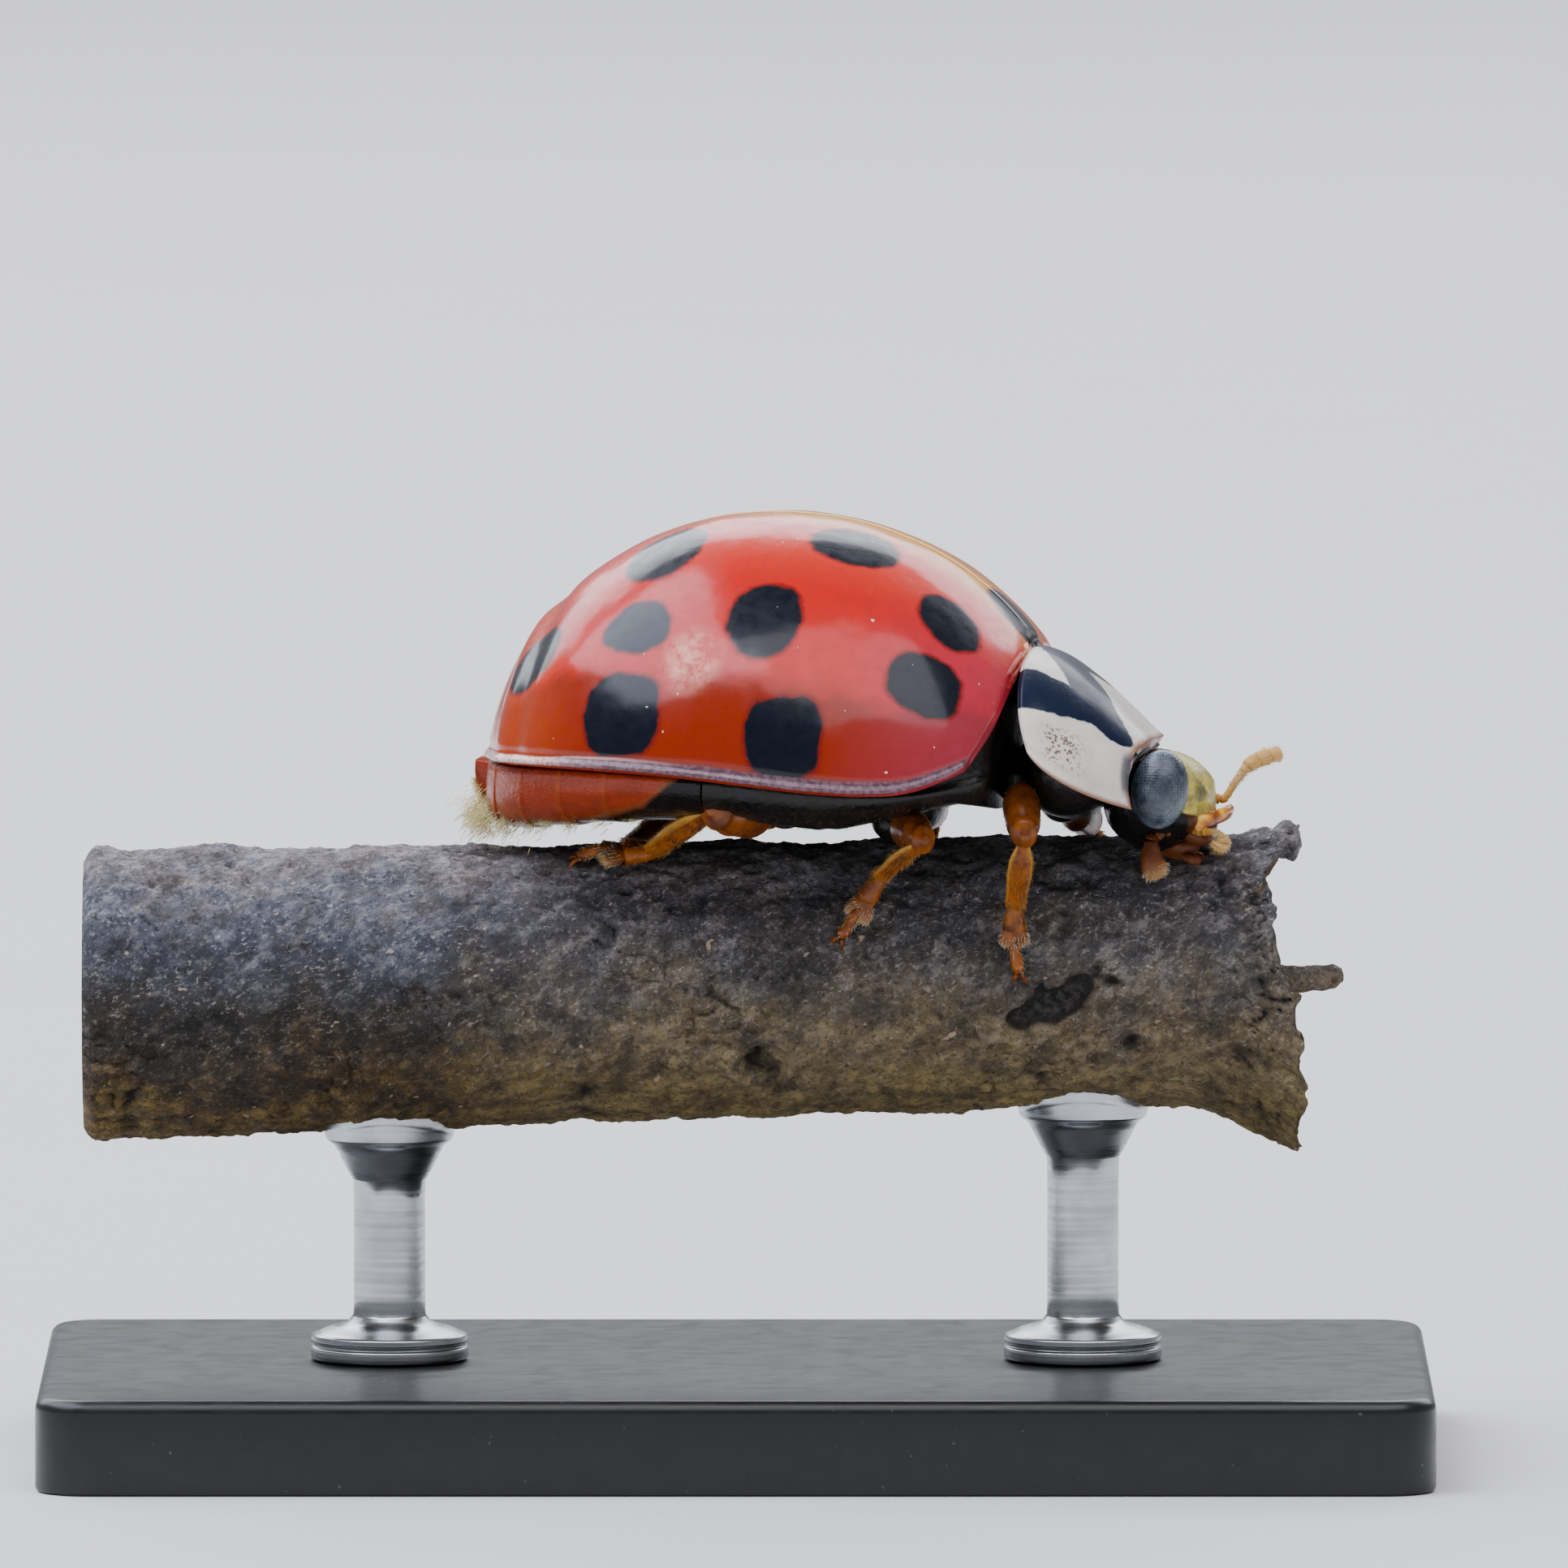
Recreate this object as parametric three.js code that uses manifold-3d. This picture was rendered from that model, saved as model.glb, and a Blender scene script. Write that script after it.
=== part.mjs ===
// Harlequin ladybird, life size, walking on a cut length of twig that a plain stand holds up.
// Millimetres, +Z up, +X towards the head end. The origin is the middle of the base's underside.
import * as THREE from "three";
import { ParametricGeometry } from "three/addons/geometries/ParametricGeometry.js";
import { mergeVertices } from "three/addons/utils/BufferGeometryUtils.js";
import Module from "manifold-3d";

const wasm = await Module();
wasm.setup();

const RIGHT = -1;
const LEFT = 1;
const GAP = 0.03; // clear space between neighbouring pieces

// The beetle's own frame: mid length, at about the level of the wing case margins.
const BEETLE = { x: 0.3385, z: 6.514, yaw: -12, noseDown: 6.2 };
// Pronotum and head are turned back and tipped a little about a point between the shoulders.
const NECK = { x: 2.6, z: 0.6, turn: 4, tip: -3 };

// Wing cases: a dome with its widest place at x = 0 and its top at x = crest.
const DOME = {
  rear: 2.68, front: 2.41, halfWidth: 2.65, height: 2.51, crest: 0.27,
  rearPlan: 2.3, rearPlanRoot: 2.2, frontReach: 2.85, frontPlan: 3.6, frontPlanRoot: 2.4,
  rearArch: 2.08, rearArchRoot: 1.93, archReach: 2.8, frontArch: 1.98, frontArchRoot: 1.88,
  sidePower: 1.03, topPower: 1.05, marginLevel: 0.15, rearDrop: 0.28, shoulderRise: 0.68, shoulder: 2.9,
};
const SHELL = 0.5; // thickness of the wing cases and the pronotum

// Pronotum, left half, as cubic curves: hind and front edges run outwards, middle and side lines forwards.
const PRONOTUM = {
  hind: [[2.37, 0, 1.5], [2.38, 1.0, 1.5], [2.46, 1.5, 1.12], [2.7, 1.66, 0.55]],
  front: [[3.7, 0, 0.8], [3.78, 0.85, 0.84], [3.4, 1.12, 0.76], [3.6, 1.05, 0.17]],
  middle: [[2.37, 0, 1.5], [2.65, 0, 1.6], [3.2, 0, 1.22], [3.7, 0, 0.8]],
  side: [[2.7, 1.66, 0.55], [2.87, 1.78, 0.4], [3.28, 1.54, 0.24], [3.6, 1.05, 0.17]],
  core: 0.15, // level of the line that the inner face is drawn towards
};
const SCUTELLUM = { length: 0.5, halfWidth: 0.24, thickness: 0.5, slope: 40, proud: 0.04 };

// Rounded pieces: middle x, y, z and half sizes along x, y, z.
const HEAD = { at: [3.75, 0, 0.26], half: [0.56, 0.8, 0.5], detail: 14 };
const PROTHORAX = { at: [2.86, 0, 0.4], half: [0.52, 1.2, 0.5], detail: 12 };
const MOUTH = { at: [4.04, 0, -0.14], half: [0.3, 0.32, 0.22], detail: 9 };
const EYE = { at: [3.85, 0.75, 0.39], half: [0.26, 0.26, 0.38], detail: 10 };

const FEELER = 0.25; // radius of antennae and palps
const FEELERS = {
  palp_right: [[3.94, -0.42, -0.1], [3.8, -0.56, -0.27], [3.87, -0.6, -0.56]],
  palp_left: [[3.98, 0.4, 0.06], [4.28, 0.46, 0.02]],
  antenna_right: [[4.16, -0.42, 0.18], [4.44, -0.42, -0.02], [4.4, -0.36, -0.36]],
  antenna_left: [[4.16, 0.4, 0.14], [4.43, 0.5, 0.52], [4.76, 0.64, 0.74]],
};

// Legs: hip and knee in the beetle's frame, ankle and toe over the bark as place along, turn and lift.
const LEG = { femur: 0.25, tibia: 0.25, tarsus: 0.25 };
const LEGS = {
  front_right: { hip: [2.78, -0.5, 0], knee: [2.74, -1.57, -0.13], ankle: [2.69, 58, 0.54], toe: [2.71, 85] },
  mid_right: { hip: [1.35, -0.6, -0.3], knee: [1.78, -1.73, -0.28], ankle: [1.36, 53.5, 0.5], toe: [0.99, 69] },
  hind_right: { hip: [-0.2, -0.6, -0.4], knee: [-0.08, -1.96, -0.22], ankle: [-0.79, 25.5, 0.3], toe: [-1.5, 26] },
  front_left: { hip: [2.78, 0.5, 0], knee: [2.85, 1.42, -0.24], ankle: [3.5, -60, 0.45], toe: [3.62, -88] },
  mid_left: { hip: [1.35, 0.6, -0.3], knee: [1.25, 1.85, -0.36], ankle: [1.75, -58, 0.5], toe: [1.6, -82] },
  hind_left: { hip: [-0.2, 0.6, -0.4], knee: [-0.9, 1.8, -0.3], ankle: [-1.1, -38, 0.3], toe: [-1.8, -41] },
};

// Underside of the trunk: places along and their levels, from the neck to the tail.
const BELLY = [
  [3.4, 0], [2.9, -0.02], [2.05, 0.05], [0.9, -0.36], [-0.6, -0.44], [-1.4, -0.58], [-2.3, -0.8], [-2.78, -0.56],
];
const TRUNK = {
  neck: 2.35, waist: -0.25, tail: 2.78, tailRound: 0.5, inner: 2.08, innerRound: 0.4,
  thoraxFlank: 0.8, abdomenFlank: 0.9, clear: 0.07, leastFlank: 0.55, belly: 0.8,
};

const TWIG = {
  left: -6.2, right: 5.38, axis: 4.536, rise: 0.022, radius: 1.31, taper: 0.011,
  flareFrom: 3.9, flareLow: 0.5, flareTop: 0.1, notch: 0.46, notchAt: 50, notchWidth: 22, endDip: 0.5,
};
const STUB = { from: [4.9, 0.55, 4.62], to: [5.77, 0.75, 4.62], radius: 0.15 };
const BASE = { length: 13.2, width: 7.6, height: 0.9, bevel: 0.12 };
const ROD = { radius: 0.34, foot: 0.75, footHeight: 0.22, cup: 0.62, cupRise: 0.3, places: [-3.3, 3.3] };

const PAINT = {
  wingCase: [0xc8301a, 0.2, 0], pronotum: [0xe6e0d4, 0.3, 0], cuticle: [0x17130f, 0.35, 0],
  abdomen: [0x7a2410, 0.3, 0], eye: [0x27303a, 0.3, 0], limb: [0x9a5216, 0.4, 0],
  feeler: [0xc98a45, 0.45, 0], bark: [0x6b6560, 0.85, 0], base: [0x1c1c1e, 0.35, 0], steel: [0xb8bcc0, 0.3, 1],
};

const clamp = (v) => Math.min(1, Math.max(0, v));
const degrees = THREE.MathUtils.degToRad;
const point = (x, y, z) => new THREE.Vector3(x, y, z);

// Six times the volume that the triangles enclose; it is negative when they face inwards.
function enclosed(position, index) {
  const [a, b, c] = [point(), point(), point()];
  let sum = 0;
  for (let i = 0; i < index.length; i += 3) {
    a.fromBufferAttribute(position, index[i]);
    b.fromBufferAttribute(position, index[i + 1]);
    c.fromBufferAttribute(position, index[i + 2]);
    sum += a.dot(b.cross(c));
  }
  return sum;
}

// A closed body with shared vertices, no collapsed triangles and its faces pointing out.
function closed(geometry) {
  const bare = geometry.clone();
  bare.deleteAttribute("normal");
  bare.deleteAttribute("uv");
  const merged = mergeVertices(bare, 1e-4);
  const index = merged.index.array;
  const kept = [];
  for (let i = 0; i < index.length; i += 3) {
    const [a, b, c] = [index[i], index[i + 1], index[i + 2]];
    if (a !== b && b !== c && c !== a) kept.push(a, b, c);
  }
  if (enclosed(merged.attributes.position, kept) < 0) kept.reverse();
  merged.setIndex(kept);
  return merged;
}

function toSolid(geometry) {
  const body = closed(geometry);
  const mesh = new wasm.Mesh({
    numProp: 3,
    vertProperties: new Float32Array(body.attributes.position.array),
    triVerts: new Uint32Array(body.index.array),
  });
  return new wasm.Manifold(mesh);
}

function fromSolid(solid) {
  const mesh = solid.getMesh();
  const geometry = new THREE.BufferGeometry();
  geometry.setAttribute("position", new THREE.BufferAttribute(mesh.vertProperties, 3));
  geometry.setIndex(new THREE.BufferAttribute(mesh.triVerts, 1));
  return geometry;
}

function cut(geometry, ...tools) {
  let solid = toSolid(geometry);
  for (const tool of tools) solid = solid.subtract(toSolid(tool));
  return fromSolid(solid);
}

const join = (a, b) => fromSolid(toSolid(a).add(toSolid(b)));

// A body of closed rings: ring(v, k) is point k of the ring at v, and each end ring closes on its middle line.
function rings(ring, around, along) {
  const shape = (u, v, target) => {
    const step = v * (along + 2) - 1;
    const k = Math.round(u * around) % around;
    if (step < 0 || step > along) {
      const end = step < 0 ? 0 : 1;
      target.copy(ring(end, k)).add(ring(end, around - 1 - k)).multiplyScalar(0.5);
    } else {
      target.copy(ring(step / along, k));
    }
  };
  return new ParametricGeometry(shape, around, along + 2);
}

// Half width, top level and margin level of the dome at x, drawn in from its outside by inset.
function domeSection(x, inset) {
  const half = DOME.halfWidth - inset;
  const top = DOME.height - inset;
  const rear = DOME.rear - inset;
  const fromCrest = x - DOME.crest;
  const bend = x < 0 ? -DOME.rearDrop * (x / DOME.rear) ** 2 : DOME.shoulderRise * (x / DOME.shoulder) ** 4;
  const margin = DOME.marginLevel + bend;
  const wide = x < 0
    ? clamp(1 - Math.abs(x / rear) ** DOME.rearPlan) ** (1 / DOME.rearPlanRoot)
    : clamp(1 - (x / DOME.frontReach) ** DOME.frontPlan) ** (1 / DOME.frontPlanRoot);
  const high = fromCrest < 0
    ? clamp(1 - Math.abs(fromCrest / (rear + DOME.crest)) ** DOME.rearArch) ** (1 / DOME.rearArchRoot)
    : clamp(1 - (fromCrest / DOME.archReach) ** DOME.frontArch) ** (1 / DOME.frontArchRoot);
  return { wide: wide * half, high: Math.max(high * top, margin), margin };
}

// Point of the dome: t runs from tail to shoulder, phi from the middle line to the side margin.
function domePoint(inset, t, phi, side) {
  const rear = DOME.rear - inset;
  const x = -rear + (rear + DOME.front) * (1 - Math.cos(t * Math.PI / 2));
  const { wide, high, margin } = domeSection(x, inset);
  const y = GAP / 2 + wide * Math.sin(phi) ** DOME.sidePower;
  const z = margin + (high - margin) * Math.max(0, Math.cos(phi)) ** DOME.topPower;
  return point(x, side * y, z);
}

// One wing case: the dome's half, SHELL thick; fat swells it for cutting room in what it covers.
function wingCase(side, fat = 0) {
  const slices = 10;
  const tip = 0.02; // the rings start this share of the way from the very tail
  const around = 2 * slices + 2;
  const ring = (v, k) => {
    const outer = k <= slices;
    const turn = outer ? k : around - 1 - k;
    const t = tip + (1 - tip) * v;
    const p = domePoint(outer ? -fat : SHELL + fat, t, turn / slices * Math.PI / 2, side);
    p.z -= fat * (turn / slices) ** 4;
    p.y -= side * fat * (1 - turn / slices) ** 4;
    return p;
  };
  return rings(ring, around, 14);
}

// Level of the underside at x, on straight runs between the stated places.
function bellyLevel(x) {
  for (let i = 1; i < BELLY.length; i += 1) {
    const [x0, z0] = BELLY[i - 1];
    const [x1, z1] = BELLY[i];
    if (x >= x1) return z0 + (z1 - z0) * clamp((x0 - x) / (x0 - x1));
  }
  return BELLY[BELLY.length - 1][1];
}

// Trunk between two places: inside the wing cases above their margin, swelling out a little below it.
function trunk(fromX, toX, flank, along) {
  const slices = 6;
  const around = 4 * slices;
  const inset = SHELL + TRUNK.clear;
  const ring = (v, k) => {
    const x = fromX + (toX - fromX) * Math.sin(v * Math.PI / 2) ** 0.9;
    const inside = domeSection(Math.max(x, -TRUNK.inner), inset);
    const outside = domeSection(Math.max(x, -DOME.rear + GAP), 0);
    const shut = clamp((TRUNK.tail + x) / TRUNK.tailRound) ** 0.5;
    const roof = clamp((TRUNK.inner + x) / TRUNK.innerRound) ** 0.5;
    const side = k < around / 2 ? 1 : -1;
    const turn = k < around / 2 ? k : around - 1 - k;
    const low = outside.margin - TRUNK.clear;
    if (turn < slices) {
      const phi = turn / (slices - 1) * Math.PI / 2;
      const z = low + Math.max(0, inside.high - low) * Math.cos(phi) * roof;
      return point(x, side * Math.max(inside.wide * Math.sin(phi) * roof, GAP), z);
    }
    const phi = (turn - slices) / (slices - 1) * Math.PI / 2;
    const y = Math.max(outside.wide * flank, TRUNK.leastFlank * shut) * Math.cos(phi) ** TRUNK.belly;
    const depth = (low - bellyLevel(x)) * Math.sin(phi) ** TRUNK.belly * (0.4 + 0.6 * shut);
    return point(x, side * Math.max(y, GAP), low - GAP - depth);
  };
  return rings(ring, around, along);
}

const bezier = (points) => new THREE.CubicBezierCurve3(...points.map((p) => point(...p)));
const hindEdge = bezier(PRONOTUM.hind);
const frontEdge = bezier(PRONOTUM.front);
const middleLine = bezier(PRONOTUM.middle);
const sideLine = bezier(PRONOTUM.side);

// Pronotum: straight runs from hind to front edge, lifted by how far the middle and side lines stand off them.
function pronotumPoint(s, r, inset) {
  const a = Math.min(1, Math.abs(s));
  const p = hindEdge.getPoint(a).lerp(frontEdge.getPoint(a), r);
  const middle = middleLine.getPoint(r).sub(hindEdge.getPoint(0).lerp(frontEdge.getPoint(0), r));
  const side = sideLine.getPoint(r).sub(hindEdge.getPoint(1).lerp(frontEdge.getPoint(1), r));
  p.addScaledVector(middle, 1 - a * a).addScaledVector(side, a * a);
  // the inner face is the outer one drawn towards a line under the crown
  const core = point(p.x - PRONOTUM.core, 0, PRONOTUM.core);
  core.lerp(p, Math.max(0.05, 1 - inset / core.distanceTo(p)));
  core.y *= Math.sign(s);
  return core;
}

// The neck's own turn and tip, applied to all that it carries.
const neckTurn = new THREE.Matrix4()
  .makeTranslation(NECK.x, 0, NECK.z)
  .multiply(new THREE.Matrix4().makeRotationZ(degrees(NECK.turn)))
  .multiply(new THREE.Matrix4().makeRotationX(degrees(NECK.tip)))
  .multiply(new THREE.Matrix4().makeTranslation(-NECK.x, 0, -NECK.z));

function pronotum(fat = 0) {
  const slices = 16;
  const around = 2 * slices + 2;
  const ring = (v, k) => {
    const outer = k <= slices;
    const turn = outer ? k : around - 1 - k;
    const s = 2 * turn / slices - 1;
    const p = pronotumPoint(s, v, outer ? -fat : SHELL + fat);
    p.x += (2 * v - 1) * fat;
    p.y += s * fat;
    return p;
  };
  return rings(ring, around, 6).applyMatrix4(neckTurn);
}

// Scutellum: a small plate with its point backwards, where the wing cases part at the front.
function scutellum(fat = 0) {
  const shape = new THREE.Shape();
  shape.moveTo(fat, SCUTELLUM.halfWidth + fat);
  shape.lineTo(-SCUTELLUM.length - fat, 0);
  shape.lineTo(fat, -SCUTELLUM.halfWidth - fat);
  const geometry = new THREE.ExtrudeGeometry(shape, { depth: SCUTELLUM.thickness + fat, bevelEnabled: false });
  const { high } = domeSection(DOME.front, 0);
  geometry.translate(0, 0, -SCUTELLUM.thickness);
  geometry.rotateY(degrees(SCUTELLUM.slope));
  return geometry.translate(DOME.front, 0, high + SCUTELLUM.proud);
}

// A rounded piece that the neck carries; side turns it to the right or the left.
function rounded({ at, half, detail }, fat = 0, side = LEFT) {
  const geometry = new THREE.SphereGeometry(1, detail, Math.round(detail * 0.7));
  geometry.scale(half[0] + fat, half[1] + fat, half[2] + fat);
  return geometry.translate(at[0], side * at[1], at[2]).applyMatrix4(neckTurn);
}

// A limb piece: an eight-sided tube with round ends along its stations.
function limb(stations, radius, fat = 0) {
  const path = stations.length > 2
    ? new THREE.CatmullRomCurve3(stations)
    : new THREE.LineCurve3(stations[0], stations[1]);
  const shape = (u, v, target) => {
    const angle = u * 2 * Math.PI;
    const share = (1 - Math.cos(v * Math.PI)) / 2;
    const tangent = path.getTangent(share);
    const across = point(0, 0, 1).cross(tangent).normalize();
    const upward = tangent.clone().cross(across);
    const r = (radius + fat) * Math.sqrt(Math.max(0, 1 - Math.abs(2 * v - 1) ** 3));
    target.copy(path.getPoint(share));
    target.addScaledVector(tangent, (2 * v - 1) * fat);
    target.addScaledVector(across, Math.cos(angle) * r);
    target.addScaledVector(upward, Math.sin(angle) * r);
  };
  return new ParametricGeometry(shape, 8, 6);
}

const feeler = (name, fat = 0) =>
  limb(FEELERS[name].map((p) => point(...p)), FEELER, fat).applyMatrix4(neckTurn);

const twigAxis = (x) => TWIG.axis + TWIG.rise * x;
const twigRadius = (x) => TWIG.radius - TWIG.taper * x;

// Place over the bark: turn is measured from the top, positive towards the right side of the beetle.
function onTwig(x, turn, lift) {
  const reach = twigRadius(x) + lift;
  return point(x, -reach * Math.sin(degrees(turn)), twigAxis(x) + reach * Math.cos(degrees(turn)));
}

// Twig: a tapered round length, cut clean on the left, flared and broken on the right with a notch and a stub.
function twig() {
  const around = 24;
  const along = 13;
  const shape = (u, v, target) => {
    const turn = u * 360 - 180;
    const place = v * (along + 2) - 1;
    const gape = (Math.abs(turn) - TWIG.notchAt) / TWIG.notchWidth;
    const end = TWIG.right - TWIG.notch * Math.exp(-gape * gape);
    const x = TWIG.left + (end - TWIG.left) * clamp(place / along) ** 0.8;
    const flare = clamp((x - TWIG.flareFrom) / (TWIG.right - TWIG.flareFrom)) ** 2;
    const low = (1 - Math.cos(degrees(turn))) / 2;
    target.copy(onTwig(x, turn, flare * (TWIG.flareTop + (TWIG.flareLow - TWIG.flareTop) * low)));
    if (place < -0.5) target.set(TWIG.left, 0, twigAxis(TWIG.left));
    if (place > along + 0.5) target.set(TWIG.right - TWIG.endDip, 0, twigAxis(TWIG.right));
  };
  const stub = limb([point(...STUB.from), point(...STUB.to)], STUB.radius);
  return join(new ParametricGeometry(shape, around, along + 2), stub);
}

function standBase() {
  const inset = BASE.bevel;
  const [hx, hy] = [BASE.length / 2 - inset, BASE.width / 2 - inset];
  const shape = new THREE.Shape();
  shape.moveTo(-hx, -hy);
  shape.lineTo(hx, -hy);
  shape.lineTo(hx, hy);
  shape.lineTo(-hx, hy);
  return new THREE.ExtrudeGeometry(shape, {
    depth: BASE.height - 2 * inset, bevelThickness: inset, bevelSize: inset, bevelSegments: 2,
  }).translate(0, 0, inset);
}

// Rod: a collar on the base, a slim shaft, and a shallow cup that the twig lies in.
function standRod(x) {
  const foot = BASE.height + GAP;
  const under = twigAxis(x) - twigRadius(x);
  const profile = [
    [0, foot], [ROD.foot, foot], [ROD.foot, foot + ROD.footHeight], [ROD.radius, foot + 2 * ROD.footHeight],
    [ROD.radius, under - 1.5 * ROD.cupRise], [ROD.cup, under - 0.4 * ROD.cupRise],
    [ROD.cup, under + ROD.cupRise], [0, under + ROD.cupRise],
  ];
  const geometry = new THREE.LatheGeometry(profile.map(([r, z]) => new THREE.Vector2(r, z)), 16);
  geometry.rotateX(Math.PI / 2);
  geometry.translate(x, 0, 0);
  const bed = new THREE.CylinderGeometry(twigRadius(x) + GAP, twigRadius(x) + GAP, 2, 32);
  bed.rotateZ(Math.PI / 2);
  bed.rotateY(-Math.atan(TWIG.rise));
  bed.translate(x, 0, twigAxis(x));
  return cut(geometry, bed);
}

const model = new THREE.Group();
const beetle = new THREE.Group();
beetle.position.set(BEETLE.x, 0, BEETLE.z);
beetle.rotation.set(0, degrees(BEETLE.noseDown), degrees(BEETLE.yaw), "ZYX");
beetle.updateMatrixWorld(true);
model.add(beetle);

function place(parent, name, geometry, [color, roughness, metalness]) {
  const body = closed(geometry);
  body.computeVertexNormals();
  const mesh = new THREE.Mesh(body, new THREE.MeshStandardMaterial({ color, roughness, metalness }));
  mesh.name = name;
  parent.add(mesh);
}

// The three pieces of a leg; fat swells them for cutting room in what they meet.
function legPieces({ hip, knee, ankle, toe }, fat = 0) {
  const hipAt = point(...hip);
  const kneeAt = point(...knee);
  const ankleAt = beetle.worldToLocal(onTwig(...ankle));
  const toeAt = beetle.worldToLocal(onTwig(...toe, LEG.tarsus + GAP));
  return {
    femur: limb([hipAt, kneeAt], LEG.femur, fat),
    tibia: limb([kneeAt, ankleAt], LEG.tibia, fat),
    tarsus: limb([ankleAt, toeAt], LEG.tarsus, fat),
  };
}

const around = Object.values(LEGS).flatMap((leg) => {
  const { femur, tibia, tarsus } = legPieces(leg, GAP);
  return [femur, tibia, tarsus];
});
const shield = pronotum(2 * GAP);
const plate = scutellum(GAP);
const skull = rounded(HEAD, GAP);
const jaw = rounded(MOUTH, GAP);
const chest = rounded(PROTHORAX, GAP);

place(beetle, "elytron_right", cut(wingCase(RIGHT), plate, shield), PAINT.wingCase);
place(beetle, "elytron_left", cut(wingCase(LEFT), plate, shield), PAINT.wingCase);
place(beetle, "scutellum", cut(scutellum(), shield), PAINT.cuticle);
place(beetle, "pronotum", pronotum(), PAINT.pronotum);
place(beetle, "prothorax", cut(rounded(PROTHORAX), shield, ...around), PAINT.cuticle);
const thorax = trunk(TRUNK.neck, TRUNK.waist + GAP, TRUNK.thoraxFlank, 8);
place(beetle, "thorax", cut(thorax, chest, shield, plate, ...around), PAINT.cuticle);
const abdomen = trunk(TRUNK.waist, -TRUNK.tail, TRUNK.abdomenFlank, 9);
place(beetle, "abdomen", cut(abdomen, ...around), PAINT.abdomen);
const sockets = [rounded(EYE, GAP, RIGHT), rounded(EYE, GAP, LEFT)];
place(beetle, "head", cut(rounded(HEAD), shield, chest, ...sockets), PAINT.pronotum);
place(beetle, "mouthparts", cut(rounded(MOUTH), skull), PAINT.limb);

for (const [side, name] of [[RIGHT, "right"], [LEFT, "left"]]) {
  const tools = [skull, jaw, rounded(EYE, GAP, side)];
  const antenna = cut(feeler(`antenna_${name}`), feeler(`palp_${name}`, GAP), ...tools);
  place(beetle, `eye_${name}`, cut(rounded(EYE, 0, side), shield), PAINT.eye);
  place(beetle, `palp_${name}`, cut(feeler(`palp_${name}`), ...tools), PAINT.limb);
  place(beetle, `antenna_${name}`, antenna, PAINT.feeler);
}

for (const [name, leg] of Object.entries(LEGS)) {
  const pieces = legPieces(leg);
  const { tibia } = legPieces(leg, GAP);
  place(beetle, `femur_${name}`, cut(pieces.femur, tibia), PAINT.limb);
  place(beetle, `tibia_${name}`, pieces.tibia, PAINT.limb);
  place(beetle, `tarsus_${name}`, cut(pieces.tarsus, tibia), PAINT.limb);
}

place(model, "perch_twig", twig(), PAINT.bark);
place(model, "stand_base", standBase(), PAINT.base);
place(model, "stand_rod_rear", standRod(ROD.places[0]), PAINT.steel);
place(model, "stand_rod_front", standRod(ROD.places[1]), PAINT.steel);

export default model;
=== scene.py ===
# Harlequin ladybird on a cut length of twig, on a plain display stand: the finished surfaces.
# Run as a script in Blender 4.5. Shapes are worked out in millimetres and put into the meshes in metres.
import math
from functools import partial, reduce

import bpy
import numpy as np
from bpy.props import FloatProperty, FloatVectorProperty, PointerProperty
from bpy.types import Operator, Panel, PropertyGroup
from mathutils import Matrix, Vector


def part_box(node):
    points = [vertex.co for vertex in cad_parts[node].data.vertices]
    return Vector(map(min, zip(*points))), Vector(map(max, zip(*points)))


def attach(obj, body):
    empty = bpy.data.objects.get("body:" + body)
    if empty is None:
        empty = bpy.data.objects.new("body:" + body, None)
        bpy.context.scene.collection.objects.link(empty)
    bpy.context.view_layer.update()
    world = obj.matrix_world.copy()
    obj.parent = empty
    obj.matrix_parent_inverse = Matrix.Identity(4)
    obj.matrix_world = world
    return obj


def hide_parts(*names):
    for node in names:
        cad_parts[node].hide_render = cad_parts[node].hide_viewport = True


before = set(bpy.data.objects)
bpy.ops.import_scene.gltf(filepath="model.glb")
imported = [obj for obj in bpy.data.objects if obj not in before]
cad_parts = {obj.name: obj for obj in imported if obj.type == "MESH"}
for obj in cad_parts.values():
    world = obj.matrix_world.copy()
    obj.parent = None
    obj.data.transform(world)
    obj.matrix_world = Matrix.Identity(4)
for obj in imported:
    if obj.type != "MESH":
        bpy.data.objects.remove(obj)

bl_info = {
    "name": "Harlequin ladybird",
    "version": (1, 0, 0),
    "blender": (4, 5, 0),
    "location": "3D View > Sidebar > Ladybird",
    "description": "Makes a life-size harlequin ladybird on a twig, with its display stand",
    "category": "Add Mesh",
}

MM = 0.001
QUARTER = math.pi / 2
TAU = 2 * math.pi
RIGHT, LEFT = -1, 1
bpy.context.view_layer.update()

# The beetle's own frame in the row frame, and the neck's turn and tip in the beetle's frame (mm and degrees).
BEETLE = {"x": 0.3385, "z": 6.514, "yaw": -12.0, "nose_down": 6.2}
NECK = {"x": 2.6, "z": 0.6, "turn": 4.0, "tip": -3.0, "first_hip": 2.5}

# Dome of the wing cases: lengths in mm. A plan or arch is a superellipse's reach, if it has its own, power and root.
DOME = {
    "rear": 2.68, "front": 2.41, "half_width": 2.65, "height": 2.51, "crest": 0.27,
    "rear_plan": (2.3, 2.2), "front_plan": (2.85, 3.6, 2.4), "rear_arch": (2.08, 1.93),
    "front_arch": (2.8, 1.98, 1.88), "side_power": 1.03, "top_power": 1.05, "margin_level": 0.15,
    "rear_drop": 0.28, "shoulder_rise": 0.68, "shoulder": 2.9,
}
SUTURE = 0.012  # half the seam between the wing cases (mm)
FAR = 9.0  # a distance beyond every mark (mm)

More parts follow.
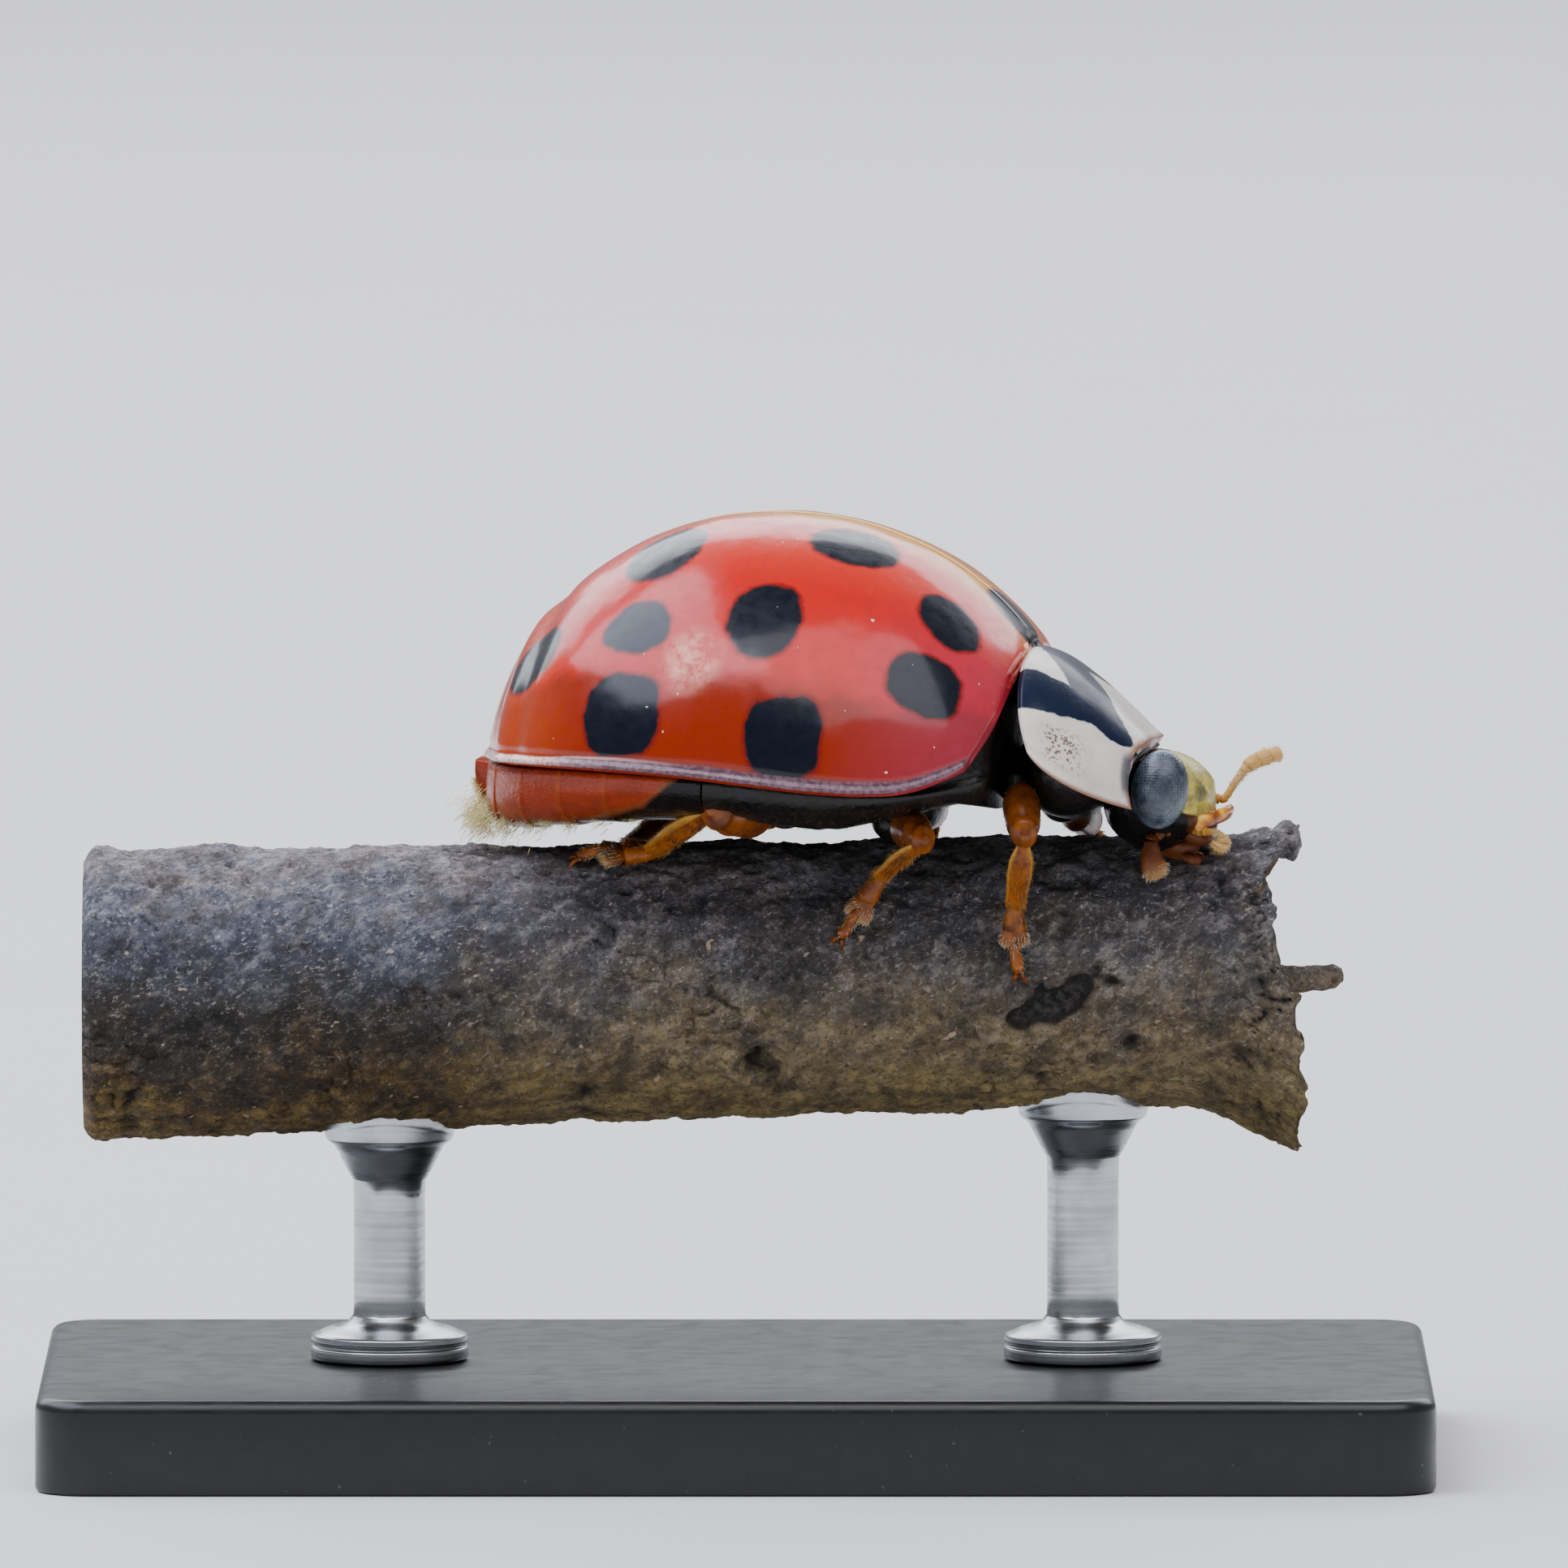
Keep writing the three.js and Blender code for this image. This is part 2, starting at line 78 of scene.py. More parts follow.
# Pronotum, left half, as cubic curves: hind and front edges run outwards, middle and side lines forwards.
SHIELD = {
    "hind": [(2.37, 0, 1.5), (2.38, 1.0, 1.5), (2.41, 1.55, 1.0), (2.66, 1.68, 0.57)],
    "front": [(3.66, 0, 0.77), (3.74, 0.85, 0.81), (3.4, 1.12, 0.76), (3.62, 1.05, 0.14)],
    "middle": [(2.37, 0, 1.5), (2.65, 0, 1.6), (3.18, 0, 1.2), (3.66, 0, 0.77)],
    "side": [(2.66, 1.68, 0.57), (2.86, 1.8, 0.36), (3.28, 1.56, 0.21), (3.62, 1.05, 0.14)],
}

# The belly's level along the trunk (mm).
BELLY = [(3.4, 0), (2.9, -0.02), (2.05, 0.05), (0.9, -0.36), (-0.6, -0.44), (-1.4, -0.58), (-2.3, -0.78),
         (-2.78, -0.74)]
VENTRITES = [-2.8, -2.42, -2.05, -1.62, -1.12, -0.5, 0.1]  # where the abdomen's plates end
TRUNK = {"neck": 2.35, "tail": 2.78, "tail_round": 0.22, "inner": 2.08, "inner_round": 0.4}

TWIG = {"left": -6.2, "axis": 4.536, "rise": 0.022, "radius": 1.31, "taper": 0.011}
BASE_TOP = 0.905  # where the rods start, just over the base (mm)

# The camera: the place it looks at, how far off and how high it stands, and the width it takes in (mm and radians).
VIEW = {"middle": Vector((0.455, 0.0, 6.4)), "distance": 300.0, "elevation": math.radians(5), "width": 14.907}
SENSOR = 36  # width of the camera's sensor (mm)

# Spots of one wing case: place along (mm), angle from the seam (degrees), half length and half height (mm), tilt
# (degrees) and the power of the outline.
SPOTS = [
    (2.2, 0, 0.36, 0.34, 0, 2.0),
    (1.82, 32, 0.31, 0.37, 35, 2.0),
    (1.79, 56, 0.36, 0.33, -8, 2.3),
    (0.75, 19, 0.41, 0.37, 8, 2.2),
    (0.18, 49, 0.335, 0.43, 0, 2.2),
    (0.59, 77, 0.36, 0.39, 6, 2.8),
    (-1.04, 24, 0.38, 0.48, -10, 2.2),
    (-1.05, 51, 0.34, 0.30, -12, 2.1),
    (-1.02, 75, 0.39, 0.385, -6, 2.8),
    (-2.12, 49, 0.38, 0.33, 15, 2.1),
]

# Strokes of half the M: start and end as shares across and along, and half widths at both (mm).
M_STROKES = [
    ((0.525, -0.1), (0.52, 0.38), 0.31, 0.24), ((0.52, 0.38), (0.5, 0.68), 0.24, 0.13),
    ((0.5, 0.68), (0.505, 0.84), 0.14, 0.17), ((0.47, 0.84), (0.31, 0.6), 0.14, 0.22),
    ((0.31, 0.6), (0.03, 0.3), 0.22, 0.26), ((0.0, -0.1), (0.0, 0.22), 0.1, 0.16),
]

# Legs: hip and knee in the beetle's frame (mm); ankle, pad and claws over the bark as along, turn and lift.
LEGS = {
    "front_right": {"side": RIGHT, "hip": (2.5, -0.55, 0.2), "knee": (2.8, -1.55, -0.12), "thigh": 0.225,
                    "foot": [(2.64, 64, 0.44), (2.63, 74, 0.12), (2.68, 85, 0.06)]},
    "mid_right": {"side": RIGHT, "hip": (1.35, -0.6, -0.3), "knee": (1.87, -1.7, -0.27), "thigh": 0.21,
                  "foot": [(1.36, 53.5, 0.5), (1.12, 62, 0.14), (0.99, 69, 0.06)]},
    "hind_right": {"side": RIGHT, "hip": (0.3, -0.7, -0.3), "knee": (-0.13, -1.93, -0.2), "thigh": 0.31,
                   "foot": [(-0.79, 25.5, 0.12), (-1.3, 26, 0.1), (-1.5, 26, 0.06)]},
    "front_left": {"side": LEFT, "hip": (2.78, 0.5, 0.0), "knee": (2.85, 1.42, -0.24), "thigh": 0.22,
                   "foot": [(3.5, -60, 0.45), (3.6, -76, 0.13), (3.62, -87, 0.06)]},
    "mid_left": {"side": LEFT, "hip": (1.35, 0.6, -0.3), "knee": (1.25, 1.85, -0.36), "thigh": 0.22,
                 "foot": [(1.75, -58, 0.5), (1.65, -74, 0.14), (1.6, -83, 0.06)]},
    "hind_left": {"side": LEFT, "hip": (-0.2, 0.6, -0.4), "knee": (-0.9, 1.8, -0.3), "thigh": 0.27,
                  "foot": [(-1.1, -38, 0.14), (-1.6, -40, 0.1), (-1.85, -41, 0.06)]},
}

SLIM_THIGH = 0.22  # the thigh that the shins and feet are drawn for
BONE, FOOT = 60, 24  # rings of a thigh or shin, and of each part of a foot

# The right eye's place in the head's frame, with y outwards, and its half sizes (mm).
EYE = {"at": (3.85, 0.745, 0.34), "half": (0.272, 0.26, 0.375)}


# --- Colours, nodes and settings ---

def linear(code):
    """Linear RGBA of an sRGB hex colour such as #c22714."""
    shares = [int(code[i:i + 2], 16) / 255 for i in (1, 3, 5)]
    return tuple(s / 12.92 if s <= 0.04045 else ((s + 0.055) / 1.055) ** 2.4 for s in shares) + (1.0,)


def colour(name, description, code):
    """A colour that a user can change, from its sRGB hex value."""
    return FloatVectorProperty(name=name, description=description, subtype="COLOR", size=4,
                               min=0, max=1, default=linear(code))


def length(name, description, millimetres):
    """A length that a user can change."""
    return FloatProperty(name=name, description=description, default=millimetres * MM, min=0,
                         unit="LENGTH", precision=6)


def number(name, description, value, **limits):
    """A share or a power that a user can change."""
    return FloatProperty(name=name, description=description, default=value, min=0, **limits)


def add_node(material, kind, *values, out=None, stops=(), **named):
    """Add a shader node, or go on with one that is there, and return the output asked for or else its first one.
    Lower-case names are its settings, values fill its open inputs in order, and capital names fill inputs by
    name. A socket is linked, a hex colour is turned to linear, and stops are a ramp's (place, hex colour)."""
    tree = material.node_tree
    node = tree.nodes.new("ShaderNode" + kind) if isinstance(kind, str) else kind
    for key in filter(str.islower, named):
        setattr(node, key, named[key])
    if stops:
        band = node.color_ramp.elements
        for i, (place, code) in enumerate(stops):
            stop = band[i] if i < 2 else band.new(place)
            stop.position, stop.color = place, linear(code)
    inputs = [s for s in node.inputs if s.enabled]
    by_name = {s.name: s for s in reversed(inputs)}
    pairs = list(zip(inputs, values))
    pairs += [(by_name[key.replace("_", " ")], value) for key, value in named.items() if not key.islower()]
    for socket, value in pairs:
        if isinstance(value, bpy.types.NodeSocket):
            tree.links.new(value, socket)
        else:
            socket.default_value = linear(value) if isinstance(value, str) else value
    return node.outputs[out] if out else next((s for s in node.outputs if s.enabled), None)


def cells(grain_mm):
    """Texture scale for a pattern whose repeat is grain_mm on Object coordinates in metres."""
    return 1 / (grain_mm * MM)


def finish(name, *marks, radius=(1.0, 0.3, 0.1), **shader):
    """A new material with the shader's plain numbers set. Returns the function that adds a node to it, its Object
    coordinates, and the fields of the mesh's marks. radius is how far red, green and blue travel under the skin, as
    shares of the subsurface scale."""
    material = bpy.data.materials.new(name)
    material.use_nodes = True
    add = partial(add_node, material)
    add(material.node_tree.nodes["Principled BSDF"], Subsurface_Radius=radius, **shader)
    return add, add("TexCoord", out="Object"), *(add("Attribute", attribute_name=m, out="Fac") for m in marks)


def mask(add, *ramps):
    """Product of shares. A ramp is a field and its limits, then the shares it gives there if not 0 and 1."""
    shares = (add("MapRange", *ramp) if isinstance(ramp, tuple) else ramp for ramp in ramps)
    return reduce(lambda a, b: add("Math", a, b, operation="MULTIPLY"), shares)


def coats(add, skin, *layers):
    """Colours laid over skin in turn. A layer is its colour and the ramps whose product says how thick it lies."""
    for code, *ramps in layers:
        skin = add("Mix", mask(add, *ramps), skin, code, data_type="RGBA")
    return skin


def dress(add, skin, rough=None, *bumps):
    """Link the shader's colour, its roughness, which is a ramp, and its bumps, one over another, each of a height, a
    depth in millimetres and a strength. Returns the material that add works on."""
    material, links = add.args[0], {}
    for height, depth, strength in bumps:
        links = {"Normal": add("Bump", Height=height, Distance=depth * MM, Strength=strength, **links)}
    if rough:
        links["Roughness"] = add("MapRange", *rough)
    add(material.node_tree.nodes["Principled BSDF"], Base_Color=skin, **links)
    return material


def dimmed(code, share):
    """A linear RGBA colour with its light cut to a share."""
    return tuple(c * share for c in code[:3]) + (1.0,)


# --- Numbers and frames ---

def turned(axis, degrees):
    """Turn about one axis, as a matrix."""
    c, s = math.cos(math.radians(degrees)), math.sin(math.radians(degrees))
    return np.array({"x": [[1, 0, 0], [0, c, -s], [0, s, c]], "y": [[c, 0, s], [0, 1, 0], [-s, 0, c]],
                     "z": [[c, -s, 0], [s, c, 0], [0, 0, 1]]}[axis])


def together(*parts):
    """Numbers, rows, columns or grids, stretched to one grid and put side by side on a last axis."""
    return np.stack(np.broadcast_arrays(*parts), -1)


def ring(count):
    """Angles evenly round a full turn."""
    return np.linspace(0, TAU, count, endpoint=False)


BODY_TURN = turned("z", BEETLE["yaw"]) @ turned("y", BEETLE["nose_down"])
BODY_AT = np.array([BEETLE["x"], 0, BEETLE["z"]])
NECK_TURN = turned("z", NECK["turn"]) @ turned("x", NECK["tip"])
NECK_AT = np.array([NECK["x"], 0, NECK["z"]])
HEAD_ROLL = turned("x", -5.0)


def in_row(points):
    """Beetle's frame to row frame: turned nose down, then by the yaw, then moved to the beetle's place."""
    return np.asarray(points, float) @ BODY_TURN.T + BODY_AT


def on_neck(points):
    """Turned and tipped with the neck, then taken to the row frame."""
    return in_row((np.asarray(points, float) - NECK_AT) @ NECK_TURN.T + NECK_AT)


def on_head(points):
    """Rolled about the head's own long axis and let down a little, then placed with the neck."""
    return on_neck((np.asarray(points, float) - (0, 0, 0.3)) @ HEAD_ROLL.T + (-0.02, 0, 0.24))


def hip_frame(leg):
    """The frame of a hip: the neck's from its first hip place forwards, and else the trunk's."""
    return on_neck if leg["hip"][0] > NECK["first_hip"] else in_row


def on_twig(along, turn, lift):
    """Place over the bark: the axis at along, then out by radius + lift at turn degrees from the top."""
    reach = TWIG["radius"] - TWIG["taper"] * along + lift
    angle = np.radians(turn)
    return together(along, -reach * np.sin(angle), TWIG["axis"] + TWIG["rise"] * along + reach * np.cos(angle))


def hold(values):
    """Values kept within 0 to 1."""
    return np.clip(values, 0, 1)


def hill(distance, width):
    """Smooth hill of height 1: exp of minus (distance / width) squared."""
    return np.exp(-(np.asarray(distance) / width) ** 2)


def blob(points, at, widths):
    """Smooth hill of height 1 about a place, with its own width along each axis."""
    return hill(np.linalg.norm((points - np.array(at)) / np.array(widths), axis=-1), 1.0)


def lumps(points, size, seed):
    """Smooth random field in -1..1: hashed values on a cubic lattice of that cell size, eased by 3t^2 - 2t^3."""
    place = np.asarray(points) / size
    cell = np.floor(place).astype(np.int64)
    ease = place - cell
    ease = ease * ease * (3 - 2 * ease)
    total = np.zeros(place.shape[:-1])
    for corner in range(8):
        step = np.array([corner & 1, corner >> 1 & 1, corner >> 2])
        key = ((cell + step) * np.array([73856093, 19349663, 83492791])).sum(-1) + seed * 2654435761
        key = (key ^ (key >> 13)) * 1274126177 & 0xFFFFFFFF
        value = ((key ^ (key >> 15)) & 0xFFFF) / 32767.5 - 1
        total += value * np.prod(np.where(step, ease, 1 - ease), -1)
    return total


def bezier(points, t):
    """Cubic curve: the four points weighed by (1-t)^3, 3t(1-t)^2, 3t^2(1-t) and t^3."""
    a, b, c, d = (np.array(p, float) for p in points)
    t = np.asarray(t, float)[..., None]
    return (1 - t) ** 3 * a + 3 * t * (1 - t) ** 2 * b + 3 * t * t * (1 - t) * c + t ** 3 * d


def curve(stations, count):
    """Smooth path through the stations: cubic pieces whose slopes are half the step across each station."""
    p = np.array(stations, float)
    slope = np.gradient(p, axis=0)
    t = np.linspace(0, len(p) - 1, count)
    i = np.minimum(t.astype(int), len(p) - 2)
    f = (t - i)[:, None]
    return ((2 * f ** 3 - 3 * f ** 2 + 1) * p[i] + (f ** 3 - 2 * f ** 2 + f) * slope[i]
            + (3 * f ** 2 - 2 * f ** 3) * p[i + 1] + (f ** 3 - f ** 2) * slope[i + 1])


def swell(stops, count):
    """Radii along a piece: the stated (share, radius) stops, eased from one to the next."""
    shares, values = np.array(stops, float).T
    t = np.linspace(0, 1, count)
    i = np.clip(np.searchsorted(shares, t, "right") - 1, 0, len(shares) - 2)
    f = hold((t - shares[i]) / (shares[i + 1] - shares[i]))
    return values[i] + (values[i + 1] - values[i]) * f * f * (3 - 2 * f)


def unit(vectors):
    """Vectors brought to length 1."""
    vectors = np.asarray(vectors, float)
    return vectors / np.maximum(np.linalg.norm(vectors, axis=-1, keepdims=True), 1e-9)


# --- Meshes ---

def lattice(rows, cols, wrap=False):
    """Faces of a grid of rows by cols points; with wrap the last column joins the first."""
    r = np.arange(rows - 1)[:, None]
    c = np.arange(cols if wrap else cols - 1)[None]
    n = (c + 1) % cols
    return together(r * cols + c, r * cols + n, (r + 1) * cols + n, (r + 1) * cols + c).reshape(-1, 4)


def loft(points, cap="fan", **marks):
    """Closed body of rings (rings, around, 3): sides from ring to ring, and each end closed by a fan about its
    middle or by a strip from each point to the one across. Faces are turned until the volume is positive."""
    rings, around = points.shape[:2]
    body = points.reshape(-1, 3)
    faces = [lattice(rings, around, wrap=True)]
    marks = {k: np.broadcast_to(v, (rings, around)).reshape(-1).astype(float) for k, v in marks.items()}
    last = (rings - 1) * around
    if cap == "strip":
        k = np.arange(around // 2 - 1)
        strip = np.stack([k, around - 1 - k, around - 2 - k, k + 1], -1)
        faces += [strip, strip[:, ::-1] + last]
    else:
        k = np.arange(around)
        n = (k + 1) % around
        hub = np.full(around, rings * around)
        faces += [np.stack([hub, n, k], -1), np.stack([hub + 1, k + last, n + last], -1)]
        body = np.vstack([body, points[0].mean(0), points[-1].mean(0)])
        marks = {name: np.append(v, [v[:around].mean(), v[last:].mean()]) for name, v in marks.items()}
    corners = np.vstack([faces[0][:, :3], faces[0][:, [0, 2, 3]]])
    a, b, c = (body[corners[:, i]] for i in range(3))
    if np.einsum("ij,ij->", a, np.cross(b, c)) < 0:
        faces = [f[:, ::-1] for f in faces]
    return {"points": body, "faces": faces, "marks": marks}


def tube(path, wide, high=None, up=(0, 0, 1), around=24, square=2.0, **marks):
    """Closed tube: ellipse of half sizes wide and high set square to the path, wide across up and high along it."""
    path = np.asarray(path, float)
    high = wide if high is None else high
    along = unit(np.gradient(path, axis=0))
    across = unit(np.cross(np.broadcast_to(up, along.shape), along))
    over = np.cross(along, across)
    c, s = np.cos(ring(around)), np.sin(ring(around))
    grow = (np.abs(c) ** square + np.abs(s) ** square) ** (-1 / square)
    points = (path[:, None] + across[:, None] * (wide[:, None] * c * grow)[..., None]
              + over[:, None] * (high[:, None] * s * grow)[..., None])
    return loft(points, **marks)


def sphere(rows, around, gap):
    """Rings on the unit sphere about X: (-cos u, sin u cos v, sin u sin v), with u from gap short of each end."""
    u, v = np.linspace(gap, math.pi - gap, rows)[:, None], ring(around)
    return together(-np.cos(u), np.sin(u) * np.cos(v), np.sin(u) * np.sin(v))


def ball(at, half, rows=32, around=48, turn=np.eye(3)):
    """Closed ellipsoid: a sphere's rings scaled by the half sizes, turned and moved to their place."""
    return loft(sphere(rows, around, 0.02) * np.array(half) @ turn.T + np.array(at))


def rings_of(part, rows):
    """The rings of a tube as a grid, without the middles of its ends."""
    return part["points"][:-2].reshape(rows, -1, 3)


def moved(part, how):
    """A part with its points put through a function, such as one from frame to frame."""
    return {**part, "points": how(part["points"])}


def joined(parts):
    """Several parts as one: points stacked, face numbers shifted, missing marks filled with nought."""
    names = sorted({name for part in parts for name in part["marks"]})
    start, faces = 0, []
    for part in parts:
        faces += [f + start for f in part["faces"]]
        start += len(part["points"])
    marks = {n: np.concatenate([p["marks"].get(n, np.zeros(len(p["points"]))) for p in parts]) for n in names}
    return {"points": np.vstack([p["points"] for p in parts]), "faces": faces, "marks": marks}


def piece(name, part, material, slot, *nodes):
    """Put a part in row-frame millimetres into a mesh object, and say what it rides on and stands for."""
    mesh = bpy.data.meshes.new(name)
    points, faces, marks = part["points"], part["faces"], part["marks"]
    sizes = np.concatenate([np.full(len(f), f.shape[1]) for f in faces])
    corners = np.concatenate([f.reshape(-1) for f in faces])
    mesh.vertices.add(len(points))
    mesh.vertices.foreach_set("co", (points * MM).astype(np.float32).reshape(-1))
    mesh.loops.add(len(corners))
    mesh.loops.foreach_set("vertex_index", corners.astype(np.int32))
    mesh.polygons.add(len(sizes))
    mesh.polygons.foreach_set("loop_start", (np.cumsum(sizes) - sizes).astype(np.int32))
    mesh.update(calc_edges=True)
    mesh.polygons.foreach_set("use_smooth", np.full(len(sizes), True))
    if "bake_u" in marks:
        places = np.stack([marks.pop("bake_u"), marks.pop("bake_v")], -1)[corners]
        mesh.uv_layers.new(name="OFBake").data.foreach_set("uv", places.astype(np.float32).reshape(-1))
    for key, values in marks.items():
        mesh.attributes.new(key, "FLOAT", "POINT").data.foreach_set("value", values.astype(np.float32))
    mesh.materials.append(material)
    obj = bpy.data.objects.new(name, mesh)
    bpy.context.scene.collection.objects.link(obj)
    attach(obj, "root")
    if nodes:
        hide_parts(*nodes)


# --- Hair ---

def hairs(roots, ways, lengths, width, sag, tile, share, seed):
    """Tapered three-sided hairs: point = root + length (s way + sag s^2 down), thinning as 1 - s^2 to a tip. Each
    hair is a small patch of the bake map, at its share of one of the map's 8 by 8 tiles."""
    rng = np.random.default_rng(seed)
    steps = np.array([0, 0.4, 0.75])
    ways = unit(ways)
    side = unit(np.cross(ways, unit(rng.normal(size=ways.shape))))
    over = np.cross(ways, side)
    down = np.array([0, 0, -1.0])
    angle = ring(3)
    out = side[:, None, None] * np.cos(angle)[:, None] + over[:, None, None] * np.sin(angle)[:, None]
    run = steps[:, None] * ways[:, None] + sag * steps[:, None] ** 2 * down
    body = (roots[:, None] + lengths[:, None, None] * run)[:, :, None]
    body = body + out * (width / 2 * (1 - steps ** 2))[None, :, None, None]
    tips = roots + lengths[:, None] * (ways + sag * down)
    points = np.concatenate([body.reshape(len(roots), 9, 3), tips[:, None]], 1)
    quads = np.array([(r * 3 + k, r * 3 + (k + 1) % 3, r * 3 + 3 + (k + 1) % 3, r * 3 + 3 + k)
                      for r in range(2) for k in range(3)])
    ends = np.array([(6 + k, 6 + (k + 1) % 3, 9) for k in range(3)] + [(2, 1, 0)])
    first = (np.arange(len(roots)) * 10)[:, None, None]
    spot = (np.array(tile) + 0.05 + 0.9 * share) / 8
    patch = 0.0012
    u = spot[:, :1] + patch * np.append(np.tile(np.cos(angle), 3), 0)
    v = spot[:, 1:] + patch * (2 * np.append(np.repeat(steps, 3), 1) - 1)
    return {"points": points.reshape(-1, 3), "faces": [(quads + first).reshape(-1, 4), (ends + first).reshape(-1, 3)],
            "marks": {"bake_u": hold(u).reshape(-1), "bake_v": hold(v).reshape(-1)}}


# --- Wing cases ---

def section(x, inset):
    """Half width, top and margin level of the dome at x: superellipse arcs behind and before the widest place."""
    def arcs(x, behind, before):  # (1 - |x / reach|^power)^(1 / root)
        return np.where(x < 0, *(hold(1 - np.abs(x / reach) ** power) ** (1 / root)
                                 for reach, power, root in (behind, before)))

    q = DOME
    rear = q["rear"] - inset
    margin = q["margin_level"] + np.where(x < 0, -q["rear_drop"] * (x / q["rear"]) ** 2,
                                          q["shoulder_rise"] * (x / q["shoulder"]) ** 4)
    wide = arcs(x, (rear, *q["rear_plan"]), q["front_plan"]) * (q["half_width"] - inset)
    high = arcs(x - q["crest"], (rear + q["crest"], *q["rear_arch"]), q["front_arch"]) * (q["height"] - inset)
    return wide, np.maximum(high, margin), margin


def dome(t, phi, side, inset=0.0):
    """Dome point: x runs from tail to shoulder as 1 - cos, y = wide sin^p and z = margin + (high - margin) cos^q."""
    rear = DOME["rear"] - inset
    x = -rear + (rear + DOME["front"]) * (1 - np.cos(t * QUARTER))
    wide, high, margin = section(x, inset)
    y = SUTURE + wide * np.sin(phi) ** DOME["side_power"]
    return together(x, side * y, margin + (high - margin) * np.maximum(0, np.cos(phi)) ** DOME["top_power"])


def share_at(x):
    """The t at which the dome stands at x."""
    return math.acos(1 - (x + DOME["rear"]) / (DOME["rear"] + DOME["front"])) / QUARTER


def spot_distance(points, side, seed):
    """Signed distance (mm) to the nearest spot's edge: each spot is a superellipse in its own tangent plane,
    (|a/half length|^n + |b/half height|^n)^(1/n) - 1, with a ragged outline from two sizes of lumps. The left wing
    case's spots are shifted slightly."""
    rng = np.random.default_rng(seed)
    nearest = np.full(points.shape[:-1], FAR)
    step = 0.01
    for x, angle, half_long, half_high, tilt, power in SPOTS:
        jitter = rng.normal(0, 0.03, 2) if side == LEFT else (0, 0)
        t, phi = share_at(x + jitter[0]), math.radians(angle) * (1 + jitter[1])
        fore = unit(dome(t + step, phi, side) - dome(t - step, phi, side))
        down = unit(dome(t, phi + step, side) - dome(t, max(phi - step, 0), side))
        down = unit(down - fore * np.dot(fore, down))
        c, s = math.cos(math.radians(tilt)), math.sin(math.radians(tilt))
        offset = points - dome(t, phi, side)
        a, b = offset @ (c * fore - s * down), offset @ (s * fore + c * down)
        reach = (np.abs(a / half_long) ** power + np.abs(b / half_high) ** power) ** (1 / power)
        near = np.linalg.norm(offset, axis=-1) < 2.5 * max(half_long, half_high)
        nearest = np.minimum(nearest, np.where(near, (reach - 1) * min(half_long, half_high), FAR))
    return nearest + 0.024 * lumps(points, 0.19, seed) + 0.012 * lumps(points, 0.07, seed + 1)


def wing_case(side, shell):
    """Wing case: outer dome from the seam to the margin, a rounded lip, a flat fold inwards below it and the inner
    dome back. The outer face has a raised bead along the margin, a low seam edge and slow ripples; the front lower
    corner is rounded by ending the rows sooner there."""
    rows, fine, lip, coarse = 190, 150, 8, 24
    rise = np.linspace(0, 1, lip + 2)[1:-1]
    share = np.r_[np.linspace(0, 1, fine), np.ones(lip), np.linspace(1, 0, coarse)]
    inset = np.r_[np.zeros(fine), shell * rise ** 1.5, np.full(coarse, shell)]
    bulge = np.r_[np.zeros(fine), np.sin(rise * math.pi), np.zeros(coarse)]
    outside = np.r_[np.ones(fine), np.zeros(lip + coarse)]
    t = np.linspace(0.006, 1, rows)[:, None]
    t = t * (1 - 0.02 * hold((share - 0.7) / 0.3) ** 2 * t ** 8)
    phi = share * QUARTER * (1 - 0.09 * hold((t - 0.9) / 0.1) ** 2)
    base = dome(t, phi, side)
    x, seam = base[..., 0], np.abs(base[..., 1])
    wide, high, _ = section(x, 0)
    rim = (1 - share) * QUARTER * (wide + high) / 2
    lift = 0.03 * hill(rim - 0.035, 0.035) - 0.01 * hill(rim - 0.12, 0.05)
    lift += -0.03 * hill(seam, 0.035) - 0.05 * hill(x - DOME["front"], 0.05)
    lift += 0.022 * hill(x + 2.32, 0.09) - 0.02 * hill(x + 2.12, 0.1)
    lift += 0.016 * lumps(base, 0.85, 3) + 0.006 * lumps(base, 0.33, 4) + 0.0012 * lumps(base, 0.11, 5)
    points = dome(t, phi, side, inset - lift * outside)
    points[..., 2] -= 0.035 * bulge
    # Painted reflection: a mottled pale pink patch on the right wing case's flank, the side that faces the camera.
    haze = blob(base, dome(share_at(-0.42), math.radians(61), side), (0.26, 0.34, 0.3))
    return moved(loft(points, cap="strip", spot=spot_distance(base, side, 11 + side), rim=rim + 1 - outside,
                      down=phi / QUARTER, along=t, haze=haze * (side == RIGHT), seam=seam), in_row)


class WingCaseSettings(PropertyGroup):
    shell: length("Edge thickness", "Width of the flat fold under each wing case's margin", 0.26)
    red: colour("Red", "Ground colour of the back", "#cf1208")
    orange: colour("Orange", "Ground colour of the lower flank and the tail", "#8f2202")
    spot: colour("Spot", "Colour of the spots", "#040a18")
    rim: colour("Rim", "Colour of the raised margin", "#745b68")
    gloss: number("Roughness", "Roughness of the wing cases", 0.28, max=1)


